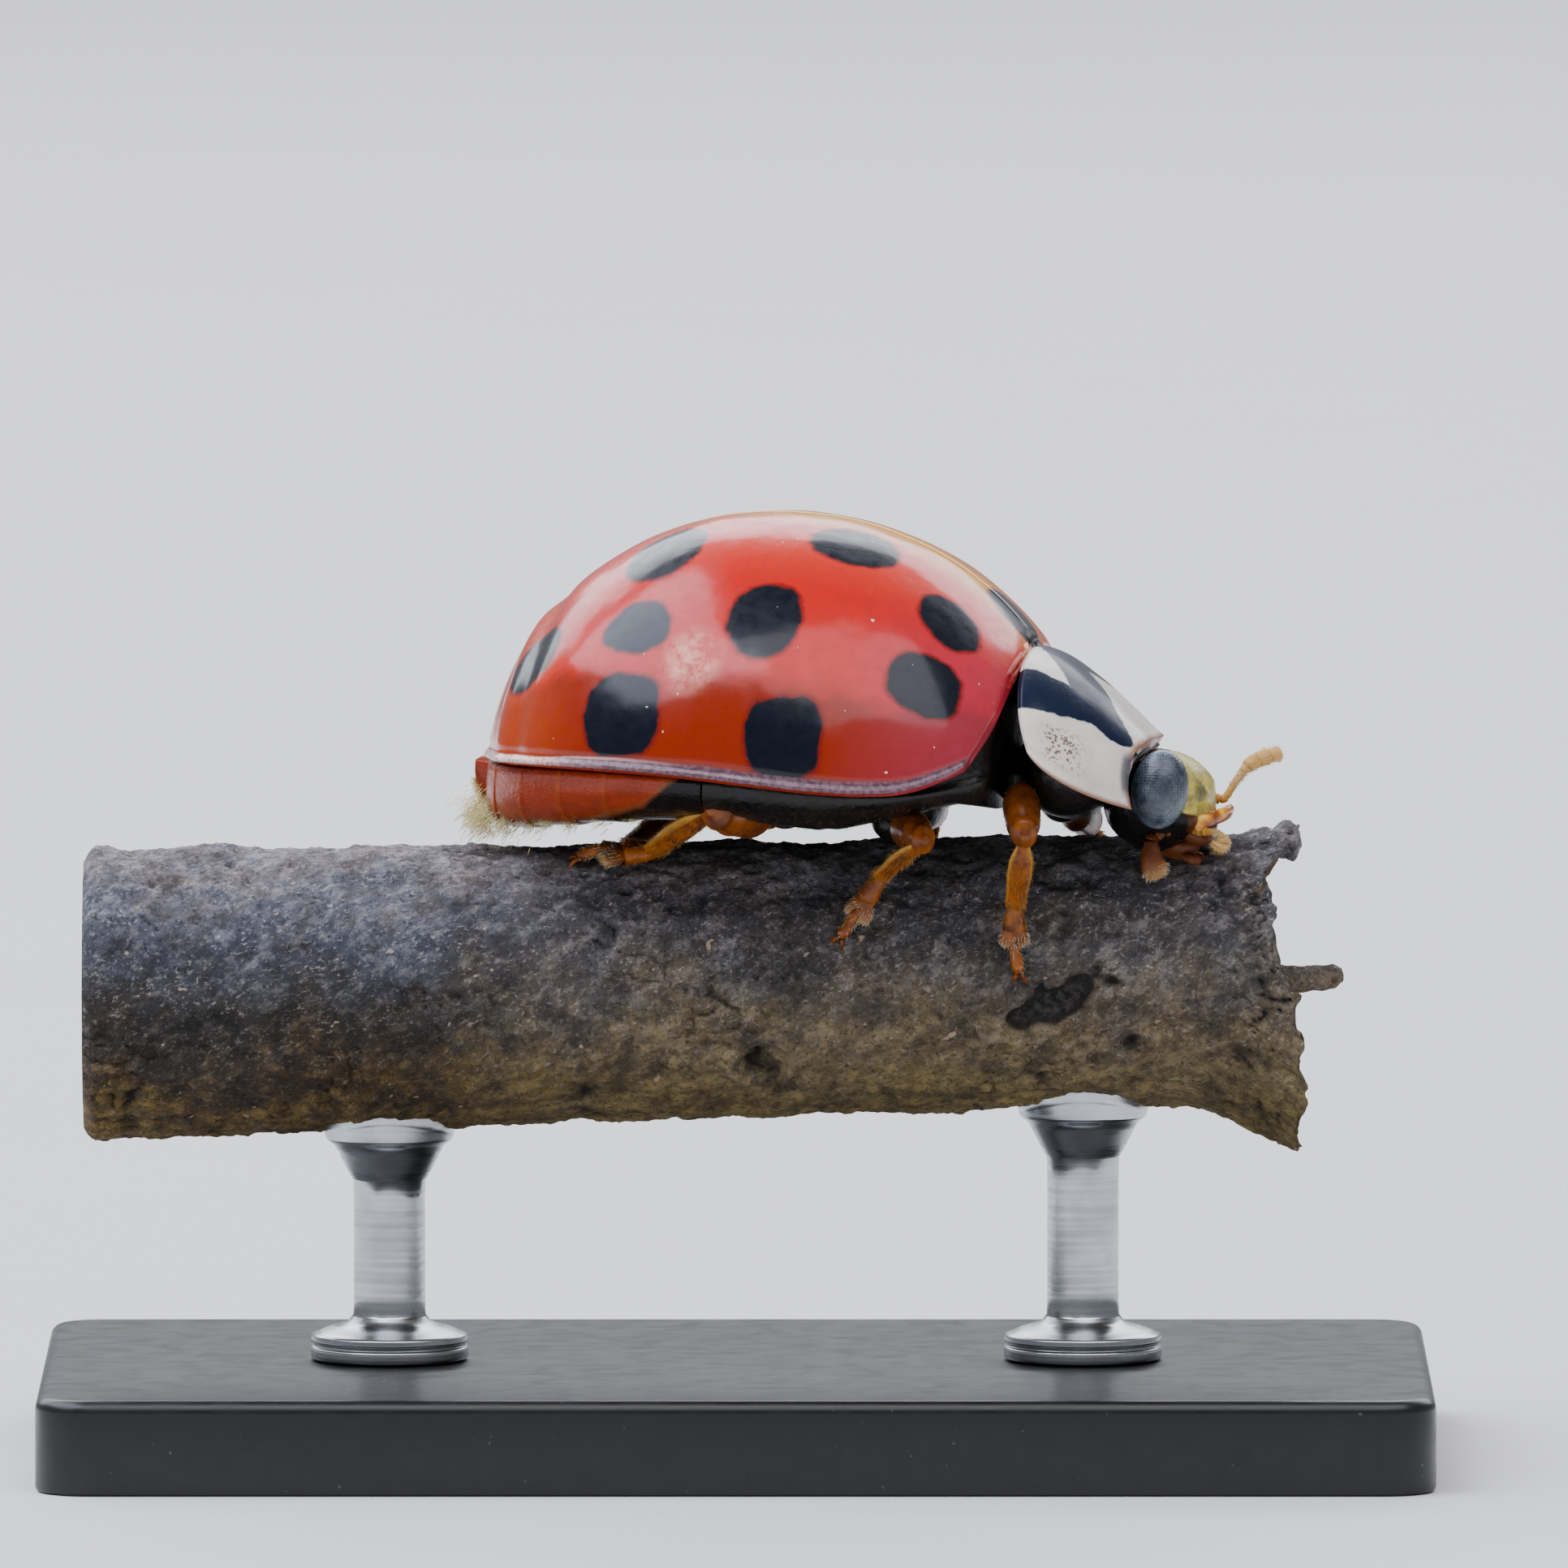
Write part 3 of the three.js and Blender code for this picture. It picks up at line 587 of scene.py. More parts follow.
def wing_chitin(wanted):
    """Beetle wing case: pigmented chitin under a smooth waxy coat, as bright as lacquer, with pits 0.09 mm apart and
    dust specks 0.03 mm wide. The red turns orange low on the flank and at the tail, the raised rim is mauve, and
    it is pinkish white where the rim runs round the rear. Light is painted in too: the crown is brightened towards
    pink and the front of the flank is tinged mauve as painted reflections, the front beside the seam is painted
    orange-yellow as light shining through the shell, a mottled pale pink patch on the right flank is a painted
    reflection, and a pale line along the rim's upper side in the rear half is a painted highlight."""
    add, place, spot, rim, down, along, haze, seam = finish(
        "Lacquer-smooth chitin, red with black spots", "spot", "rim", "down", "along", "haze", "seam", IOR=1.5,
        Specular_IOR_Level=0.12, Coat_Weight=0.7, Coat_Roughness=0.14, Coat_IOR=1.42, Subsurface_Weight=0.1,
        Subsurface_Scale=0.3 * MM)
    cloud = add("TexNoise", place, cells(0.9), 3)
    fine = add("TexNoise", place, cells(0.12), 2)
    mottle = add("TexNoise", place, cells(0.2), 4, 0.65)
    drift = add("MapRange", cloud, 0.3, 0.7, -0.07, 0.07)
    back = add("Math", along, drift)
    edge = add("Math", spot, add("MapRange", fine, 0.2, 0.8, -0.012, 0.012))
    ground = coats(add, wanted.red,
                   (wanted.orange, (add("Math", down, drift), 0.68, 0.76)),
                   ("#b94206", (back, 0.48, 0.16)),
                   # Painted reflection: the front of the flank is tinged mauve.
                   ("#b03c58", (along, 0.82, 0.97, 0, 0.5), (down, 0.3, 0.5)),
                   # Painted reflection: the crown is brightened towards pink.
                   ("#f5452a", (down, 0.42, 0.2, 0, 0.6)),
                   # Painted light: beside the seam at the front, orange-yellow as if lit through the shell.
                   ("#f0a419", (seam, 0.6, 0.15), (along, 0.45, 0.7)),
                   ("#8c0d06", (fine, 0.35, 0.75, 0, 0.25)))
    skin = coats(add, "#74120a",
                 (ground, (edge, 0.008, 0.05)),
                 (wanted.spot, (edge, -0.01, 0.01, 1, 0)),
                 # Painted reflection: the mottled pale pink patch on the right flank.
                 ("#f6b196", (haze, 0.15, 0.7, 0, 0.72), (mottle, 0.42, 0.58, 0.1, 1)))
    speck = add("MapRange", add("TexNoise", place, cells(0.045), 2), 0.42, 0.58)
    wave = add("Math", rim, add("MapRange", cloud, 0.3, 0.7, -0.015, 0.015))
    rear = add("MapRange", back, 0.52, 0.36)
    # Painted highlight: a pale pink line along the rim band's upper side, in the rear half.
    band = coats(add, "#52404a", (wanted.rim, speck), ("#d6a9a6", (wave, 0.105, 0.12), (along, 0.65, 0.5)),
                 (coats(add, "#cf9a94", ("#f3ded8", speck)), rear))
    wave = add("Math", wave, add("Math", rear, 0.055, operation="MULTIPLY"))
    dust = add("TexNoise", place, cells(0.07), 1)
    skin = coats(add, skin, (band, (wave, 0.135, 0.155, 0.9, 0)), ("#e9e0d2", (dust, 0.79, 0.81)))
    return dress(add, skin, (fine, 0.3, 0.75, wanted.gloss * 0.75, wanted.gloss * 1.5),
                 (add("MapRange", add("TexVoronoi", place, cells(0.09)), 0, 0.3), 0.004, 0.3),
                 (add("TexNoise", place, cells(0.4), 4, 0.6), 0.012, 0.6))


class LADYBIRD_OT_wing_cases(Operator):
    """Make both wing cases with their spots"""
    bl_idname = "ladybird.wing_cases"
    bl_label = "Wing cases"

    def execute(self, context):
        wanted = context.scene.ladybird_wing_cases
        material = wing_chitin(wanted)
        for side, name in ((RIGHT, "right"), (LEFT, "left")):
            piece(f"wing_case_{name}", wing_case(side, wanted.shell / MM), material, "wing_case", f"elytron_{name}")
        return {"FINISHED"}


# --- Pronotum and scutellum ---

def shield_point(s, r, inset=0.0):
    """Pronotum point: straight from hind to front edge at |s|, plus (1 - s^2) of the middle line's stand-off and
    s^2 of the side line's, then drawn in by inset towards a line under the crown."""
    s, r, inset = np.broadcast_arrays(s, r, inset)
    a, along = np.minimum(np.abs(s), 1), r[..., None]
    share = (a ** 2)[..., None]
    hind, front = (np.array(SHIELD[key], float) for key in ("hind", "front"))
    p = bezier(hind, a) * (1 - along) + bezier(front, a) * along
    for line, end, weight in (("middle", 0, 1 - share), ("side", 3, share)):
        p = p + weight * (bezier(SHIELD[line], r) - (hind[end] * (1 - along) + front[end] * along))
    out = p - together(p[..., 0] - 0.15, 0, 0.15)
    p = p - out * (inset / np.linalg.norm(out, axis=-1))[..., None]
    p[..., 1] *= np.where(s < 0, -1, 1)
    return p


def letter_m(s, r, points):
    """Signed distance (mm) to the M mark: straight strokes in (s, r), each half as wide as stated."""
    stretch = np.array([1.9, 1.35])
    place = together(np.abs(s), r) * stretch
    nearest = np.full(place.shape[:-1], FAR)
    for start, end, half_start, half_end in M_STROKES:
        a, b = (np.array(v) * stretch for v in (start, end))
        share = hold(((place - a) @ (b - a)) / np.dot(b - a, b - a))
        gap = np.linalg.norm(place - a - share[..., None] * (b - a), axis=-1)
        nearest = np.minimum(nearest, gap - (half_start + (half_end - half_start) * share))
    return nearest + 0.02 * lumps(points, 0.15, 8)


def shield(thickness):
    """Pronotum: outer face across from right to left edge, rounded lips, and the inner face back; a thin bead and
    a groove run along both side edges."""
    rows, fine, lip, coarse = 90, 150, 6, 30
    rise = np.linspace(0, 1, lip + 2)[1:-1]
    s = np.r_[np.linspace(-1, 1, fine), np.ones(lip), np.linspace(1, -1, coarse), -np.ones(lip)]
    inset = thickness * np.r_[np.zeros(fine), rise, np.ones(coarse), rise[::-1]]
    bulge = np.sin(rise * math.pi)
    bulge = np.r_[np.zeros(fine), bulge, np.zeros(coarse), -bulge]
    s, r = np.meshgrid(s, np.linspace(0, 1, rows))
    covered = np.broadcast_to(np.arange(s.shape[1]) >= fine, s.shape).astype(float)
    base = shield_point(s, r)
    edge = (1 - np.abs(s)) * 2.1
    front = (1 - r) * 1.35
    lift = 0.03 * hill(edge, 0.05) - 0.022 * hill(edge - 0.13, 0.06) + 0.012 * hill(front, 0.05)
    lift += 0.012 * lumps(base, 0.6, 21) + 0.005 * lumps(base, 0.2, 22) - 0.03 * hill(r * 1.35, 0.04)
    points = shield_point(s, r, inset - lift * (1 - covered))
    points[..., 1] += 0.03 * bulge
    return moved(loft(points, cap="strip", mark=letter_m(s, r, base), edge=edge + covered, across=s,
                      front=front + covered, inner=covered), on_neck)


class ShieldSettings(PropertyGroup):
    thickness: length("Thickness", "Thickness of the pronotum's edge", 0.1)
    ivory: colour("Ivory", "Ground colour of the pronotum", "#e9e1d3")
    mark: colour("Mark", "Colour of the M mark", "#04142e")
    edge: colour("Edge", "Colour of the thin side edge", "#8a4f2c")


def shield_chitin(wanted):
    """Pronotum: ivory chitin that shows milky through a clear coat, with a black M and brown-grey pits 0.05 mm
    apart in a patch on each side lobe. Its border is amber, a slate strip lies inside the front border beside the
    middle, and its inner face is dark."""
    add, place, gap, rim, across, ahead, inner = finish(
        "Glossy chitin, ivory with a black M", "mark", "edge", "across", "front", "inner", IOR=1.5,
        Specular_IOR_Level=0.15, Coat_Weight=0.22, Coat_Roughness=0.16, Subsurface_Weight=0.15,
        Subsurface_Scale=0.2 * MM)
    cloud = add("TexNoise", place, cells(0.35), 3)
    fine = add("TexNoise", place, cells(0.06), 2)
    dots = add("TexVoronoi", place, cells(0.04))
    pits = add("TexVoronoi", place, cells(0.05))
    inside = add("Math", gap, add("MapRange", fine, 0.2, 0.8, -0.012, 0.012))
    skin = coats(add, wanted.ivory,
                 ("#c2b6a4", (cloud, 0.35, 0.7, 0, 0.6)),
                 ("#7d6757", (dots, 0.34, 0.5, 1, 0), (fine, 0.36, 0.46, 0.1, 1), (rim, 0.12, 0.25),
                  (add("Math", across, operation="ABSOLUTE"), 0.68, 0.76), (ahead, 0.42, 0.62), (ahead, 1.05, 0.88)),
                 (wanted.edge, (add("Math", rim, ahead, operation="MINIMUM"), 0.015, 0.06, 0.85, 0)),
                 ("#3c4655", (ahead, 0.1, 0.06), (rim, 0.9, 0.7), (rim, 0.1, 0.22, 0, 0.8)),
                 (wanted.mark, (inside, -0.01, 0.012, 1, 0)),
                 ("#1c120d", (inner, 0.03, 0.3)))
    return dress(add, skin, (cloud, 0.3, 0.7, 0.28, 0.44), (add("MapRange", pits, 0, 0.3), 0.004, 0.4),
                 (add("TexNoise", place, cells(0.25), 4), 0.012, 0.6))


def plate():
    """Scutellum: a low three-cornered plate, rows from the broad front to the point, crowned across."""
    t, around = np.linspace(0, 1, 14)[:, None], ring(24)
    long, slope = 0.5, math.radians(40)
    _, high, _ = section(np.array(DOME["front"]), 0)
    out = DOME["front"] - 0.02 - long * t * math.cos(slope)
    level = high - 0.01 + long * t * math.sin(slope)
    half = 0.23 * (1 - t) ** 0.8 + 0.004
    return moved(loft(together(out, half * np.cos(around), level + 0.05 * np.sin(around) * (1 - 0.3 * t))), in_row)


def dark_chitin():
    """Black chitin of the trunk: glossy, finely pitted at 0.06 mm, with brown mottling painted over it as glints."""
    add, place = finish("Pitted chitin, black", IOR=1.5, Specular_IOR_Level=0.3, Coat_Weight=0.15,
                        Coat_Roughness=0.25)
    cloud = add("TexNoise", place, cells(0.3), 4)
    # Painted glints: brown mottling over the black.
    skin = add("ValToRGB", cloud, stops=[(0.35, "#080605"), (0.6, "#140d09"), (0.8, "#2b1a0d")])
    return dress(add, skin, (cloud, 0.3, 0.7, 0.35, 0.6), (add("TexVoronoi", place, cells(0.06)), 0.01, 0.7))


class LADYBIRD_OT_shield(Operator):
    """Make the pronotum with its M mark, and the scutellum"""
    bl_idname = "ladybird.shield"
    bl_label = "Pronotum and scutellum"

    def execute(self, context):
        wanted = context.scene.ladybird_shield
        piece("pronotum_shield", shield(wanted.thickness / MM), shield_chitin(wanted), "pronotum", "pronotum")
        piece("scutellum_plate", plate(), dark_chitin(), "dark_cuticle", "scutellum")
        return {"FINISHED"}


# --- Trunk ---

def trunk(from_x, to_x, rows, steps):
    """Trunk between two places: an arch inside the wing cases, and below them a flank that rounds to the belly.
    Its reach is 0.9 of the dome's at the tail and 0.8 at the chest. steps are places where a plate ends: the
    surface stands out before each by up to 0.02 mm and drops behind it."""
    x = (from_x + (to_x - from_x) * np.sin(np.linspace(0, 1, rows) * QUARTER) ** 0.9)[:, None]
    flank = 0.8 + 0.1 * hold(0.3 - x / 1.5)
    inner_wide, inner_high, _ = section(np.maximum(x, -TRUNK["inner"]), 0.57)
    wide, _, margin = section(np.maximum(x, 0.03 - DOME["rear"]), 0)
    shut = hold((TRUNK["tail"] + x) / TRUNK["tail_round"]) ** 0.5
    roof = hold((TRUNK["inner"] + x) / TRUNK["inner_round"]) ** 0.5
    low = margin - 0.05
    phi = np.linspace(0, QUARTER, 34)
    top = together(x, np.maximum(inner_wide * np.sin(phi) * roof, 0.01),
                   low + np.maximum(0, inner_high - low) * np.cos(phi) * roof)
    plates = np.zeros_like(x)
    for before, after in zip(steps[:-1], steps[1:]):
        share = (x - before) / (after - before)
        plates = np.where((share >= 0) & (share < 1), 0.02 * hold(share) ** 2, plates)
    reach = np.maximum(wide * flank, 0.55 * shut) + plates
    belly = np.interp(x, *np.array(BELLY[::-1], float).T)
    under = together(x, np.maximum(reach * np.cos(phi) ** 0.8, 0.01),
                     low - 0.02 - (low - belly + plates) * np.sin(phi) ** 0.8 * (0.4 + 0.6 * shut))
    left = np.concatenate([top, under], 1)
    return np.concatenate([left, left[:, ::-1] * (1, -1, 1)], 1)


def abdomen_points():
    """The trunk from the thorax back to the tail."""
    return trunk(-0.22, -TRUNK["tail"], 150, VENTRITES)


def thorax_points():
    """The trunk from the neck back to the abdomen."""
    return trunk(TRUNK["neck"], -0.2, 90, [-0.25, 0.75, 1.6, 2.4])


class TrunkSettings(PropertyGroup):
    brown: colour("Brown", "Colour of the abdomen's flank", "#9c3413")
    amber: colour("Amber", "Colour of the thin plate edges", "#b2551c")


def abdomen_chitin(wanted):
    """Abdomen plates: dark red-brown chitin, black along the middle of the belly, amber along each plate's edge,
    with a wet gloss and a leathery net of wrinkles 0.07 mm wide. Below a line that rises towards the thorax it is
    painted black as shade, with an amber band along the line."""
    add, place, flank, edge, fore = finish(
        "Glossy chitin, red-brown", "flank", "edge", "fore", IOR=1.5, Specular_IOR_Level=0.2, Coat_Weight=0.2,
        Coat_Roughness=0.18, Subsurface_Weight=0.1, Subsurface_Scale=0.15 * MM)
    cloud = add("TexNoise", place, cells(0.3), 4)
    drift = add("MapRange", cloud, 0.3, 0.7, -0.12, 0.12)
    front = add("Math", fore, drift)
    skin = coats(add, "#0f0705",
                 (wanted.brown, (add("Math", flank, drift), 0.45, 0.8)),
                 (wanted.amber, (edge, 0.8, 1.0, 0, 0.5)),
                 ("#32100a", (cloud, 0.45, 0.8, 0, 0.5)),
                 # Painted shade: black below a line that rises towards the thorax, with an amber band at its edge.
                 ("#7a4a24", (front, 0.12, 0.32, 0, 0.6)),
                 ("#0c0706", (front, 0.4, 0.75)))
    net = add("TexVoronoi", place, cells(0.07), feature="DISTANCE_TO_EDGE")
    return dress(add, skin, (cloud, 0.3, 0.7, 0.24, 0.45), (add("MapRange", net, 0, 0.25), 0.006, 0.6))


class LADYBIRD_OT_trunk(Operator):
    """Make the thorax and the plated abdomen"""
    bl_idname = "ladybird.trunk"
    bl_label = "Thorax and abdomen"

    def execute(self, context):
        back = abdomen_points()
        x, y, z = np.moveaxis(back, -1, 0)
        steps = np.array(VENTRITES)
        index = np.clip(np.searchsorted(steps, x, "right") - 1, 0, len(steps) - 2)
        # The line below which the abdomen is painted black as shade.
        shade = np.interp(x, [-1.9, -1.53, -1.3, -0.82, -0.46, -0.24], [-0.9, -0.6, -0.47, -0.27, 0.06, 0.3])
        wide = np.maximum(np.abs(y).max(1, keepdims=True), 0.2)
        body = loft(back, flank=np.maximum(np.abs(y) / wide, hold((-2.3 - x) / 0.25)),
                    edge=hold((x - steps[index]) / (steps[index + 1] - steps[index])),
                    fore=hold(0.5 + (shade - z) / 0.16))
        material = abdomen_chitin(context.scene.ladybird_trunk)
        piece("abdomen_plates", moved(body, in_row), material, "abdomen", "abdomen")
        middle = (2.86, 0, 0.4)
        chest = ball(middle, (0.5, 1.18, 0.48), 40, 60)
        chest["points"] += 0.02 * lumps(chest["points"], 0.3, 31)[:, None] * unit(chest["points"] - middle)
        parts = [moved(loft(thorax_points()), in_row), moved(chest, on_neck)]
        for leg in LEGS.values():
            joint = ball(np.array(leg["hip"]) + (0, -0.05 * leg["side"], 0.05), (0.22, 0.34, 0.2), 20, 28)
            parts.append(moved(joint, hip_frame(leg)))
        piece("thorax_plates", joined(parts), dark_chitin(), "dark_cuticle", "thorax", "prothorax")
        return {"FINISHED"}


# --- Head ---

# Middle and half sizes of the head capsule (mm).
HEAD_AT = np.array([3.75, 0, 0.26])
HEAD_HALF = np.array([0.52, 0.77, 0.49])


def head_points():
    """Head capsule: an ellipsoid about X pushed along its own radius by stated hills: a broad brow between the
    eyes, a cheek that stands out before each eye, a dimple beside the muzzle, and a hollow behind each eye."""
    way = sphere(80, 110, 0.03)
    points = HEAD_AT + way * HEAD_HALF
    hills = [((4.2, 0, 0.08), (0.2, 0.36, 0.14), 0.1), ((4.14, 0, 0.44), (0.26, 0.5, 0.28), 0.05)]
    for side in (RIGHT, LEFT):
        hills += [((4.17, side * 0.34, 0.2), (0.1, 0.08, 0.09), -0.07),
                  ((4.12, side * 0.5, 0.1), (0.1, 0.12, 0.12), 0.07),
                  ((3.85, side * 0.78, 0.38), (0.3, 0.2, 0.36), -0.06)]
    lift = sum(height * blob(points, at, widths) for at, widths, height in hills)
    lift = lift + 0.01 * lumps(points, 0.16, 41) + 0.006 * lumps(points, 0.06, 42)
    return points + unit(way / HEAD_HALF) * lift[..., None]


def antenna(stations):
    """Antenna of eleven beads along a path: a stout first joint, close-set middle beads, and a club of three."""
    path = curve(stations, 200)
    ends = [0, 0.19, 0.28, 0.35, 0.41, 0.47, 0.53, 0.59, 0.66, 0.78, 0.89, 1.0]
    radii = [0.06, 0.05, 0.043, 0.041, 0.041, 0.042, 0.045, 0.054, 0.086, 0.098, 0.088]
    grow = swell([(0, 0.6), (0.2, 0.9), (0.8, 1.0), (0.95, 0.85), (1, 0.4)], 12)
    beads = []
    for start, end, radius in zip(ends[:-1], ends[1:], radii):
        run = path[int(start * 199):min(199, int(end * 199) + 3) + 1]
        run = curve(run[[0, len(run) // 2, -1]], 12)
        beads.append(tube(run, grow * radius, grow * radius * 0.85, around=18, tip=end))
    return joined(beads)


def palp(stations):
    """Jaw palp: three slim joints and a last one like an axe head with rounded corners, broad at its end."""
    path = curve(stations, 60)
    cuts = [0, 12, 22, 30, 59]
    grow = swell([(0, 0.6), (0.3, 0.85), (0.85, 1), (1, 0.6)], 10)
    parts = [tube(curve(path[[start, (start + end) // 2, end]], 10), grow * radius, around=16)
             for start, end, radius in zip(cuts[:-2], cuts[1:-1], (0.055, 0.06, 0.065))]
    wide = swell([(0, 0.07), (0.3, 0.105), (0.7, 0.13), (0.92, 0.11), (1, 0.05)], 22)
    high = swell([(0, 0.06), (0.4, 0.085), (0.85, 0.07), (1, 0.03)], 22)
    axe = curve(path[[cuts[-2], 45, cuts[-1]]], 22)
    return joined([*parts, tube(axe, high, wide, around=24, tip=np.linspace(0, 1, 22)[:, None] ** 2)])


FEELERS = {
    "palp_right": [(4.0, -0.4, -0.02), (3.86, -0.52, -0.08), (3.78, -0.56, -0.16), (3.81, -0.58, -0.34),
                   (3.9, -0.6, -0.5)],
    "palp_left": [(4.1, 0.28, -0.06), (4.2, 0.3, -0.1), (4.28, 0.3, -0.13), (4.33, 0.26, -0.18), (4.34, 0.2, -0.24)],
    "antenna_right": [(4.14, -0.34, -0.02), (4.26, -0.4, -0.02), (4.38, -0.42, -0.02), (4.43, -0.41, -0.08),
                      (4.4, -0.39, -0.17)],
    "antenna_left": [(4.16, 0.26, 0.28), (4.32, 0.3, 0.27), (4.41, 0.4, 0.45), (4.54, 0.52, 0.64),
                     (4.77, 0.66, 0.75)],
}


class HeadSettings(PropertyGroup):
    cream: colour("Cream", "Colour of the face", "#c6b852")
    eye: colour("Eye", "Colour of the eyes", "#2b3541")
    palp: colour("Palp", "Colour of the palps and jaws", "#6a3309")
    feeler: colour("Feeler", "Colour of the antennae", "#c08a38")
    facet: length("Facet", "Width of one lens of the eye", 0.026)


def face_chitin(wanted):
    """Face: smooth cream chitin, black behind the eyes and brown on the muzzle, with an olive patch beside it."""
    add, place, nape, stain, muzzle = finish(
        "Smooth chitin, cream", "nape", "stain", "muzzle", IOR=1.5, Specular_IOR_Level=0.15, Coat_Weight=0.15,
        Coat_Roughness=0.2, Subsurface_Weight=0.15, Subsurface_Scale=0.15 * MM)
    cloud = add("TexNoise", place, cells(0.16), 3)
    fine = add("TexNoise", place, cells(0.05), 2)
    pits = add("TexVoronoi", place, cells(0.055))
    stain, nape = (add("Math", field, add("MapRange", cloud, 0.3, 0.7, -wave, wave))
                   for field, wave in ((stain, 0.25), (nape, 0.2)))
    skin = coats(add, wanted.cream,
                 ("#8d804a", (cloud, 0.38, 0.6, 0, 0.8)),
                 ("#e2d88e", (fine, 0.5, 0.65, 0, 0.5)),
                 # A darker olive patch beside the muzzle.
                 ("#4d5038", (stain, 0.3, 0.75, 0, 0.8)),
                 ("#4a230b", (muzzle, 0.2, 0.6)),
                 ("#0e0b0c", (nape, 0.3, 0.7)))
    return dress(add, skin, (cloud, 0.3, 0.7, 0.24, 0.42), (add("MapRange", pits, 0, 0.35), 0.006, 0.6))


def eye_lens(wanted):
    """Compound eye: blue-grey lenses packed close, each a low dome, under a clear coat with a soft sheen, with
    paler patches painted on as highlights.
    """
    add, place, deep = finish("Compound eye lens, blue-grey", "deep", IOR=1.5, Specular_IOR_Level=0.4,
                              Coat_Weight=0.5, Coat_Roughness=0.25)
    lens = add("TexVoronoi", place, cells(wanted.facet / MM), Randomness=0.35)
    cloud = add("TexNoise", place, cells(0.3), 3, 0.6)
    # Painted highlights: paler blue-grey patches.
    skin = coats(add, wanted.eye, ("#6b7883", (cloud, 0.4, 0.62)), ("#0f1520", (deep, 0.1, 1, 0, 0.75)),
                 ("#171c24", (lens, 0.3, 0.6, 0, 0.6)))
    return dress(add, skin, (cloud, 0.3, 0.7, 0.3, 0.5), (add("MapRange", lens, 0.1, 0.6, 1, 0), 0.006, 0.6))


def feeler_chitin(name, code, tip_code):
    """Antennae, palps and jaws: thin amber chitin that lets light through, paler towards the tips, with a dull
    skin of wrinkles 0.03 mm apart."""
    add, place, tip = finish(name, "tip", radius=(1.0, 0.45, 0.15), IOR=1.5, Specular_IOR_Level=0.3,
                             Subsurface_Weight=0.35, Subsurface_Scale=0.12 * MM)
    cloud = add("TexNoise", place, cells(0.1), 3)
    skin = coats(add, code, (dimmed(code, 0.5), (cloud, 0.35, 0.7)), (tip_code, (tip, 0.3, 1, 0, 0.75)))
    return dress(add, skin, (cloud, 0.3, 0.7, 0.35, 0.55), (add("TexNoise", place, cells(0.03), 2), 0.004, 0.5))


def lip_chitin():
    """Upper lip: clear orange chitin with a wet shine, painted darker in the hollows of its bumps as shade and
    paler on their rises as light.
    """
    add, place = finish("Clear chitin, orange", radius=(1.0, 0.7, 0.2), IOR=1.5, Coat_Weight=0.5,
                        Coat_Roughness=0.12, Subsurface_Weight=0.3, Subsurface_Scale=0.1 * MM)
    cloud = add("TexNoise", place, cells(0.12), 3)
    # Painted shade and light: the ramp follows the bumps' height, dark in their hollows and pale on their rises.
    skin = add("ValToRGB", cloud, stops=[(0.35, "#7a3606"), (0.48, "#bc6a08"), (0.64, "#efae28")])
    return dress(add, skin, (cloud, 0.3, 0.7, 0.15, 0.3), (cloud, 0.02, 0.5))


